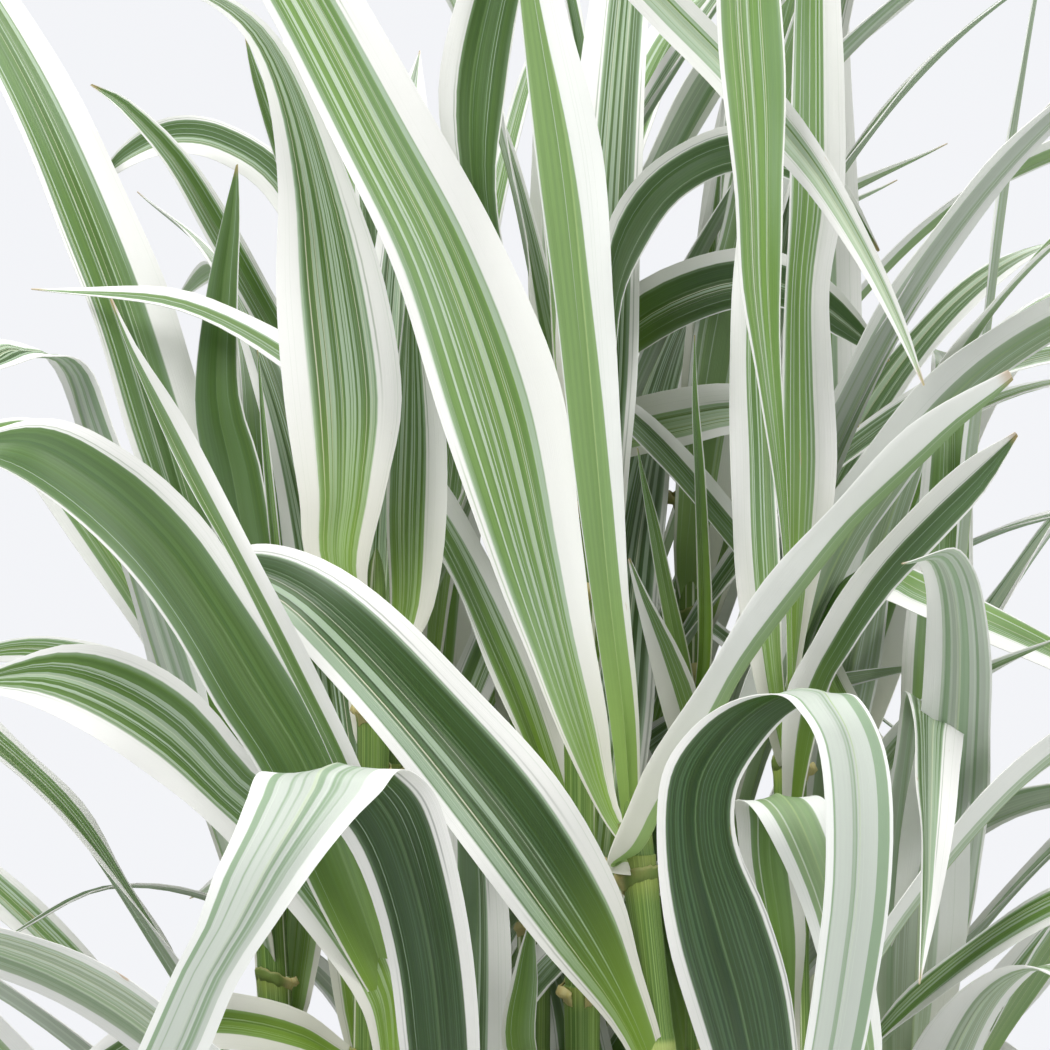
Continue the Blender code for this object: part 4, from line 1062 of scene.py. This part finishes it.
class Blades:
    """The blades of one culm as one mesh: its points, faces, and what its maps say at each corner."""

    def __init__(self, count):
        self.count = count
        self.placed = 0
        self.points = []
        self.faces = []
        self.under = []
        self.corners = {"across": [], "margins": [], "tone": [], "grown": [], "OFBake": []}

    def face(self, corners, under, spread):
        """Adds one face. Each corner is (point, across, share), and spread sets its place in the bake."""
        self.faces.append(tuple(point for point, _, _ in corners))
        self.under.append(under)
        strip = 2 * self.placed + under
        for (_, across, share), beside in zip(corners, spread):
            self.corners["across"] += (across, share)
            widen = max(0, 1 + self.widening * (share - 0.5))
            self.corners["margins"] += (self.margins[0] * widen, self.margins[1] * widen)
            self.corners["tone"] += self.tone
            self.corners["grown"] += self.grown
            bake_x = (strip + 0.06 + 0.88 * beside) / (2 * self.count)
            self.corners["OFBake"] += (bake_x, 0.01 + 0.98 * share)

    def add(self, pairs, fold, stripes, draw):
        """Adds a blade from its margin pairs."""
        fine = fine_pairs(pairs)
        middles = [(left + right) / 2 for left, right in fine]
        widths = [(right - left).length for left, right in fine]
        travelled = [0.0]
        for before, after in zip(middles, middles[1:]):
            travelled.append(travelled[-1] + (after - before).length)
        length = travelled[-1]
        self.margins = stripes[:2]
        self.tone = stripes[2:4]
        self.widening = stripes[4] if len(stripes) > 4 else 0.0
        self.grown = (draw.uniform(0, 90), length)
        waves = [(math.tau / draw.uniform(*WAVE_LENGTH), draw.uniform(0, math.tau)) for _ in range(2)]
        first = len(self.points)
        wide = len(ACROSS)
        for i, (left, right) in enumerate(fine):
            along = middles[min(i + 1, len(fine) - 1)] - middles[max(i - 1, 0)]
            across = right - left
            up = across.cross(along).normalized()
            share = travelled[i] / length
            ahead = middles[min(i + CREASE_SPAN, len(fine) - 1)] - middles[i]
            behind = middles[i] - middles[max(i - CREASE_SPAN, 0)]
            bent = ahead.angle(behind) if ahead.length and behind.length else 0
            deep = fold * widths[i] / max(widths) / (1 + (bent / CREASE_ANGLE) ** 2)
            calm = min(1, share / 0.2) * min(1, (1 - share) / 0.15) * widths[i] / max(widths)
            upper = []
            under = []
            for u in ACROSS:
                corner = (math.sqrt(u * u + FOLD_ROUNDING ** 2) - FOLD_ROUNDING) / (1 - FOLD_ROUNDING * 0.84)
                rise = -deep * (1 - min(1, corner)) + HALF_ARCH * widths[i] / 2 * math.sin(math.pi * abs(u))
                rate, phase = waves[u > 0]
                rise += WAVE_HEIGHT * calm * abs(u) ** 3 * math.sin(rate * travelled[i] + phase)
                thick = MIDDLE_THICKNESS + (MARGIN_THICKNESS - MIDDLE_THICKNESS) * abs(u)
                keel = KEEL_DEPTH * math.exp(-((u / KEEL_WIDTH) ** 2)) * (1 - share) ** 0.7
                point = middles[i] + across * (u / 2) + up * rise
                upper.append(point + up * thick / 2)
                under.append(point - up * (thick / 2 + keel))
            self.points += upper + under
        ends = [0, len(fine) - 1]
        for i in range(len(fine) - 1):
            row = first + i * 2 * wide
            after = row + 2 * wide
            shares = (travelled[i] / length, travelled[i + 1] / length)
            for k in range(wide - 1):
                low, high = (ACROSS[k] + 1) / 2, (ACROSS[k + 1] + 1) / 2
                quad = [
                    (row + k, low, shares[0]), (row + k + 1, high, shares[0]),
                    (after + k + 1, high, shares[1]), (after + k, low, shares[1]),
                ]
                self.face(quad, 0, (low, high, high, low))
                quad = [(point + wide, u, share) for point, u, share in quad[::-1]]
                self.face(quad, 1, (low, high, high, low))
            for k, side, beside in ((0, 0, (0, 0, -0.04, -0.04)), (wide - 1, 1, (1, 1, 1.04, 1.04))):
                quad = [
                    (row + k, side, shares[0]), (after + k, side, shares[1]),
                    (after + wide + k, side, shares[1]), (row + wide + k, side, shares[0]),
                ]
                if side:
                    quad.reverse()
                    beside = beside[::-1]
                self.face(quad, 0, beside)
        for i, share in zip(ends, (0, 1)):
            row = first + i * 2 * wide
            for k in range(wide - 1):
                low, high = (ACROSS[k] + 1) / 2, (ACROSS[k + 1] + 1) / 2
                quad = [
                    (row + k, low, share), (row + wide + k, low, share),
                    (row + wide + k + 1, high, share), (row + k + 1, high, share),
                ]
                if share:
                    quad.reverse()
                self.face(quad, 0, (low, low, high, high) if not share else (high, high, low, low))
        self.placed += 1

    def build(self, name, materials):
        """The mesh object, with its maps."""
        obj = piece(name, self.points, self.faces, materials)
        obj.data.polygons.foreach_set("material_index", self.under)
        for title, corners in self.corners.items():
            layer = obj.data.uv_layers.new(name=title)
            layer.uv.foreach_set("vector", corners)
        obj.data.set_sharp_from_angle(angle=math.radians(62))
        return obj


BRIGHT_GREEN = paint(124, 160, 84)
DEEP_GREEN = paint(27, 48, 33)
GREY_GREEN = paint(163, 183, 158)
WHITE_MARGIN = paint(239, 238, 236)
CREAM = paint(228, 224, 196)
YELLOW_GREEN = paint(149, 185, 60)
PALE_STRIPE = paint(206, 220, 198)
# The upper side's pale grey-blue film: partly waxy bloom, partly painted sheen of the sky's reflection
WAX_AND_PAINTED_SHEEN = paint(190, 206, 204)
TAN = paint(186, 152, 112)
UNDER_PALE = paint(214, 221, 212)
UNDER_MARGIN = paint(228, 230, 227)
UNDER_STREAK = paint(102, 140, 92)


def leaf_material(name, under):
    """Green and white stripes that run the whole length of the blade, each a little wandering."""
    material, start = new_material(name)
    spot = start.node("UVMap", {"uv_map": "across"}, {})
    across, share = spot.part("X"), spot.part("Y")
    margins = start.node("UVMap", {"uv_map": "margins"}, {})
    tones = start.node("UVMap", {"uv_map": "tone"}, {})
    grown = start.node("UVMap", {"uv_map": "grown"}, {})
    seed, length = grown.part("X"), grown.part("Y")
    along = share * length
    tone, pale = tones.part("X"), tones.part("Y")

    def lengthwise(scale, stretch, offset, detail=1.0):
        """Noise that changes quickly across the blade and slowly along it."""
        inputs = {0: across * scale + seed * offset, 1: along * stretch, 2: seed}
        return start.node("CombineXYZ", {}, inputs).grain(1, detail, 0.5)

    drift = lengthwise(1.3, 7, 1.7) - 0.5
    strayed = across + drift * 0.05
    frayed = lengthwise(30, 14, 3.1) - 0.5
    left = strayed + frayed * 0.02 - margins.part("X")
    right = 1 - strayed + frayed * 0.02 - margins.part("Y")
    green = left.rises(-0.006, 0.012) * right.rises(-0.006, 0.012)
    inner = left.rises(0.02, 0.07) * right.rises(0.02, 0.07)
    broad = lengthwise(17, 1.1, 5.3, 2)
    narrow = lengthwise(28, 0.8, 7.9, 1.5)
    fine = lengthwise(60, 0.8, 2.3, 1)
    vein = lengthwise(160, 0.8, 4.1, 1)
    cluster = lengthwise(4.5, 0.8, 11.9) - 0.5
    pale_stripe = (broad + pale * 0.15).rises(0.655, 0.685)
    pale_line = (narrow + cluster * 0.30 + pale * 0.14).rises(0.685, 0.712)
    white_line = (fine + cluster * 0.30 + pale * 0.09).rises(0.715, 0.755)
    dark_band = lengthwise(19, 1.0, 9.7, 2).rises(0.43, 0.55)
    middle = start.maths("ABSOLUTE", across - 0.5)
    midrib = (1 - middle.rises(0.008, 0.020)) * (1 - share.rises(0.45, 0.9))
    young = 1 - along.rises(0.01, 0.10)

    bright = tone.blend(BRIGHT_GREEN, DEEP_GREEN)
    shaded = start.node("VectorMath", {"operation": "MULTIPLY"}, {0: bright, 1: (0.60, 0.66, 0.62)})
    colour = (dark_band * (tone * 0.55 + 0.40)).blend(bright, shaded)
    colour = (vein.rises(0.3, 0.7) * (0.20 - tone * 0.13)).blend(colour, YELLOW_GREEN)
    thin = (fine + cluster * 0.2).rises(0.52, 0.60) * (tone * 0.34)
    colour = thin.blend(colour, paint(98, 132, 92))
    stripe = tone.blend(PALE_STRIPE, GREY_GREEN)
    colour = (pale_stripe * 0.80).blend(colour, stripe)
    colour = (pale_line * 0.85).blend(colour, stripe)
    colour = (white_line * 0.75).blend(colour, CREAM)
    edge_band = (1 - inner) * (0.22 + pale * 0.40)
    colour = edge_band.blend(colour, GREY_GREEN)
    colour = (young * 0.72).blend(colour, YELLOW_GREEN)
    white = UNDER_MARGIN if under else WHITE_MARGIN
    faint = (fine.rises(0.60, 0.74) * 0.30).blend(white, GREY_GREEN)
    for side, depth in () if under else ((left, 0.032), (right, 0.040)):
        thread = 1 - start.maths("ABSOLUTE", side + depth).rises(0.003, 0.013)
        faint = (thread * drift.rises(0.0, 0.08) * 0.55).blend(faint, bright)
    faint = (young * 0.45).blend(faint, CREAM)
    if under:
        colour = (tone * 0.80 + 0.02).blend(colour, UNDER_PALE)
        streak = lengthwise(10, 1.2, 6.1, 2).rises(0.53, 0.60) * tone
        colour = (streak * 0.65).blend(colour, UNDER_STREAK)
        colour = (midrib * 0.40).blend(colour, paint(184, 204, 140))
    else:
        # A pale grey-blue film on the upper side only, partly the leaf's waxy bloom and partly painted sheen
        # of the sky's reflection, less on the deep greens
        bloom = lengthwise(2.2, 9, 8.3, 2).rises(0.35, 0.70)
        colour = (bloom * (0.18 - tone * 0.13)).blend(colour, WAX_AND_PAINTED_SHEEN)
        colour = (midrib * (0.30 - tone * 0.20)).blend(colour, paint(176, 204, 148))
    colour = green.blend(faint, colour)
    worn = start.node("CombineXYZ", {}, {0: across * 7 + seed, 1: along * 34, 2: seed}).grain(1, 4, 0.6)
    colour = (worn.rises(0.735, 0.76) * 0.7).blend(colour, TAN)
    tip = (share + (fine - 0.5) * 0.02).rises(0.975, 1.0)
    colour = (tip * 0.7).blend(colour, TAN)

    place = start.node("TexCoord", {}, {}, 3)
    taper = 1 - share.rises(0.55, 0.85)
    ridges = (vein * 0.6 + fine * 0.4) * taper + midrib * (0.0 if under else -0.8)
    mottle = place.grain(900, 2)
    gloss = 0.50 if under else 0.34
    relief = {"Height": ridges + mottle * 0.06, "Distance": 0.00022, "Strength": 0.8}
    leaf = start.node("BsdfPrincipled", {}, {
        "Base Color": colour,
        "Roughness": gloss + mottle * 0.10 + (1 - green) * 0.06,
        "Specular IOR Level": 0.5,
        "Normal": start.node("Bump", {}, relief),
    })
    lit_green = start.node("BsdfTranslucent", {}, {"Color": paint(150, 190, 84)})
    lit_white = start.node("BsdfTranslucent", {}, {"Color": paint(236, 238, 230)})
    lit = start.node("MixShader", {}, {0: green, 1: lit_white, 2: lit_green})
    shader = start.node("MixShader", {}, {0: 0.30, 1: leaf, 2: lit})
    start.node("OutputMaterial", {}, {"Surface": shader})
    return material


blades = all_blades()
leaf_upper = leaf_material("leaf_upper_side", False)
leaf_under = leaf_material("leaf_under_side", True)
draw = random.Random(5)
for name in CULMS:
    own = [blade for blade in blades if blade[0] == name]
    leaves = Blades(len(own))
    for _, title, pairs, fold in own:
        leaves.add(pairs, fold, STRIPES.get(title) or drawn_stripes(draw), draw)
    leaves = leaves.build(name + "_blades", [leaf_upper, leaf_under])
    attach(leaves, "root")
    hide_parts(name)


# The stems: each cane is wrapped from soil to top in leaf sheaths, one for each blade. A sheath is a thin
# green tube, finely lined, that clasps the cane and ends in an open mouth just under its blade.
STEM_SIDES = 28
STEM_STEP = 0.004
SHEATH_SKIN = 0.0011
MOUTH_FLARE = 0.0008
MOUTH_REACH = 0.012
NODE_BELOW_MOUTH = 0.055
TOP_TAPER = 0.024
NODE_SWELLING = 0.0004


def stem_material():
    material, start = new_material("leaf_sheath")
    round_map = start.node("UVMap", {"uv_map": "round"}, {})
    level = start.node("UVMap", {"uv_map": "level"}, {})
    height, below = level.part("X"), level.part("Y")

    def lengthwise(scale, stretch, offset):
        x, y = round_map.part("X") * scale + offset, round_map.part("Y") * scale
        return start.node("CombineXYZ", {}, {0: x, 1: y, 2: height * stretch}).grain(1, 1.5, 0.5)

    band = lengthwise(1.6, 5, 2)
    line = lengthwise(9, 3, 5)
    thread = lengthwise(24, 2, 8)
    colour = band.rises(0.40, 0.60).blend(paint(84, 112, 48), paint(108, 136, 60))
    colour = (line.rises(0.48, 0.58) * 0.6).blend(colour, paint(74, 106, 48))
    colour = (thread.rises(0.54, 0.62) * 0.55).blend(colour, paint(152, 176, 104))
    colour = (band.rises(0.62, 0.66) * 0.8).blend(colour, paint(226, 228, 204))
    mouth = 1 - below.rises(0.0, 0.010)
    colour = (mouth * 0.35).blend(colour, paint(176, 180, 92))
    node_ring = 1 - start.maths("ABSOLUTE", below - NODE_BELOW_MOUTH).rises(0.0008, 0.0035)
    colour = (node_ring * 0.55).blend(colour, paint(190, 200, 120))
    old = 1 - height.rises(0.235, 0.300)
    colour = (old * (0.45 + line * 0.5)).blend(colour, paint(176, 156, 104))
    inputs = {
        "Base Color": colour,
        "Roughness": 0.42 + thread * 0.12,
        "Normal": start.node("Bump", {}, {"Height": line * 0.5 + thread * 0.5, "Distance": 0.0003}),
    }
    plain_finish(start, inputs)
    return material


def stem_levels(name, mouths):
    """The heights of a stem's rings, close together at its sheaths' mouths."""
    top = CULMS[name][1][2]
    low = SOIL_LEVEL - CULM_DEPTH_IN_SOIL
    steps = round((top - low) / STEM_STEP)
    levels = [low + (top - low) * i / steps for i in range(steps + 1)]
    for mouth in mouths:
        levels += [mouth - 0.0002, mouth + 0.0002, mouth - 0.0015]
    return sorted(level for level in levels if low <= level <= top)


def stem_radius(name, z, mouths):
    """The stem's radius at a height, and how far below the next sheath mouth that is."""
    top = CULMS[name][1][2]
    start = SOIL_LEVEL + CULM_STRAIGHT_ABOVE_SOIL
    share = min(1, max(0, (z - start) / (top - start)))
    cane = CULM_RADIUS + (CULM_TOP_RADIUS - CULM_RADIUS) * share
    cane *= math.sqrt(max(0.02, 1 - max(0, (z - top + TOP_TAPER) / TOP_TAPER) ** 2))
    below = min([mouth - z for mouth in mouths if mouth >= z] or [1.0])
    if z < SOIL_LEVEL - 0.004 or below == 1.0:
        return cane, below
    node = NODE_SWELLING * math.exp(-(((below - NODE_BELOW_MOUTH) / 0.004) ** 2))
    return cane + SHEATH_SKIN + MOUTH_FLARE * math.exp(-below / MOUTH_REACH) + node, below


def stem_piece(name, mouths, material):
    """A stem with its sheaths, as one closed skin."""
    points = []
    faces = []
    rounds = []
    levels = []
    rows = stem_levels(name, mouths)
    for z in rows:
        radius, below = stem_radius(name, z, mouths)
        middle = culm_point(name, z)
        for k in range(STEM_SIDES):
            turn = math.tau * k / STEM_SIDES
            spoke = Vector((math.cos(turn), math.sin(turn), 0))
            points.append(middle + spoke * radius)
            rounds.append(spoke.xy)
            levels.append((z + CULMS[name][2], min(below, 0.5)))
    for row in range(len(rows) - 1):
        for k in range(STEM_SIDES):
            here = row * STEM_SIDES + k
            beside = row * STEM_SIDES + (k + 1) % STEM_SIDES
            faces.append((here, beside, beside + STEM_SIDES, here + STEM_SIDES))
    last = len(points) - STEM_SIDES
    faces.append(tuple(range(STEM_SIDES))[::-1])
    faces.append(tuple(range(last, len(points))))
    obj = piece(name + "_stem", points, faces, [material])
    round_layer = obj.data.uv_layers.new(name="round")
    level_layer = obj.data.uv_layers.new(name="level")
    for loop in obj.data.loops:
        round_layer.data[loop.index].uv = rounds[loop.vertex_index]
        level_layer.data[loop.index].uv = levels[loop.vertex_index]
    obj.data.set_sharp_from_angle(angle=math.radians(55))
    return obj


def blade_heading(pairs):
    """The compass direction in which a blade leaves its culm, and the height where it does."""
    root = (pairs[0][0] + pairs[0][1]) / 2
    out = (pairs[3][0] + pairs[3][1]) / 2 - root
    return math.atan2(out.y, out.x), root.z


stem_skin = stem_material()
for name in CULMS:
    mouths = sorted(blade_heading(pairs)[1] for owner, _, pairs, _ in blades if owner == name)
    stem = stem_piece(name, mouths, stem_skin)
    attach(stem, "root")
    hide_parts(name)


# The collars: where a blade meets its sheath. Each is a green band under the blade's base, with a cream
# auricle like a small ear on each side and a thin frayed ligule standing up behind the blade.
COLLAR_STEPS = 34
COLLAR_TURN = math.radians(320)
COLLAR_SLANT = 0.0028
COLLAR_THICKNESS = 0.0005
EAR_TURN = math.radians(132)
EAR_PLACE = EAR_TURN / COLLAR_TURN
EAR_WIDTH = 0.36
HIDDEN_COLLARS = ("sweeping", "young")


def collar_material():
    material, start = new_material("collar_and_ligule")
    spot = start.node("UVMap", {"uv_map": "spot"}, {})
    around, rise = spot.part("X"), spot.part("Y")
    place = start.node("CombineXYZ", {}, {0: around * 60, 1: rise * 2.0, 2: around * 3})
    thread = place.grain(1, 2)
    from_back = start.maths("ABSOLUTE", around - 0.5)
    ear = 1 - start.maths("ABSOLUTE", from_back - EAR_PLACE).rises(0.06, 0.17)
    edge = rise.rises(0.55, 0.95)
    colour = (ear * 0.85 + edge * 0.35).blend(paint(112, 134, 66), paint(212, 200, 142))
    colour = (thread.rises(0.5, 0.62) * ear * 0.45).blend(colour, paint(196, 176, 84))
    dry = start.node("TexCoord", {}, {}, 3).grain(160, 3).rises(0.58, 0.70) * rise
    colour = (dry * 0.4).blend(colour, paint(188, 150, 100))
    shader = start.node("BsdfPrincipled", {}, {
        "Base Color": colour,
        "Roughness": 0.48 + thread * 0.15,
        "Normal": start.node("Bump", {}, {"Height": thread, "Distance": 0.0003}),
    })
    lit = start.node("BsdfTranslucent", {}, {"Color": paint(226, 220, 160)})
    start.node("OutputMaterial", {}, {"Surface": start.node("MixShader", {}, {0: 0.25, 1: shader, 2: lit})})
    return material


def collar_rows(radius, turn, scale, draw):
    """A collar's outline at one turn from its blade: (radius, height) from its foot to its frayed edge."""
    ear = math.exp(-(((abs(turn) - EAR_TURN) / EAR_WIDTH) ** 2))
    lift = COLLAR_SLANT * math.cos(turn)
    fray = draw.uniform(0, 0.0009)
    droop = draw.uniform(0, 0.0010)
    return [
        (radius - 0.0001, -0.0046 * scale + lift - droop),
        (radius + 0.0003 + 0.0006 * ear * scale, -0.0022 * scale + lift),
        (radius + 0.0004 + 0.0026 * ear * scale, (-0.0004 - 0.0014 * ear) * scale + lift - droop * ear),
        (radius + 0.0003 + 0.0044 * ear * scale, (0.0008 - 0.0006 * ear) * scale + lift - fray),
        (radius + 0.0001 + 0.0030 * ear * scale, (0.0018 + 0.0018 * ear) * scale + lift - fray),
    ]


def add_collar(points, faces, spots, name, heading, height, mouths, scale, draw):
    """Adds one collar to the lists of points, faces and map places."""
    radius = stem_radius(name, height - 0.0003, mouths)[0]
    middle = culm_point(name, height)
    first = len(points)
    count = 10
    for i in range(COLLAR_STEPS + 1):
        turn = COLLAR_TURN * (i / COLLAR_STEPS - 0.5)
        spoke = Vector((math.cos(heading + turn), math.sin(heading + turn), 0))
        rows = collar_rows(radius, turn, scale, draw)
        outer = [middle + spoke * out + Vector((0, 0, rise)) for out, rise in rows]
        inner = [point - spoke * COLLAR_THICKNESS for point in outer]
        points += outer + inner[::-1]
        spots += [(i / COLLAR_STEPS, k / 4) for k in (0, 1, 2, 3, 4, 4, 3, 2, 1, 0)]
    for i in range(COLLAR_STEPS):
        here = first + count * i
        for k in range(count):
            after = (k + 1) % count
            faces.append((here + k, here + count + k, here + count + after, here + after))
    last = first + count * COLLAR_STEPS
    faces.append(tuple(first + k for k in range(count)))
    faces.append(tuple(last + k for k in range(count))[::-1])


collar_skin = collar_material()
draw = random.Random(11)
for name in CULMS:
    own = [(title, *blade_heading(pairs)) for owner, title, pairs, _ in blades if owner == name]
    mouths = sorted(height for _, _, height in own)
    points = []
    faces = []
    spots = []
    for title, heading, height in own:
        if "spike" in title or title in HIDDEN_COLLARS:
            continue
        add_collar(points, faces, spots, name, heading, height, mouths, draw.uniform(0.6, 1.0), draw)
    collars = piece(name + "_collars", points, faces, [collar_skin])
    layer = collars.data.uv_layers.new(name="spot")
    for loop in collars.data.loops:
        layer.data[loop.index].uv = spots[loop.vertex_index]
    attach(collars, "root")
    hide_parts(name)
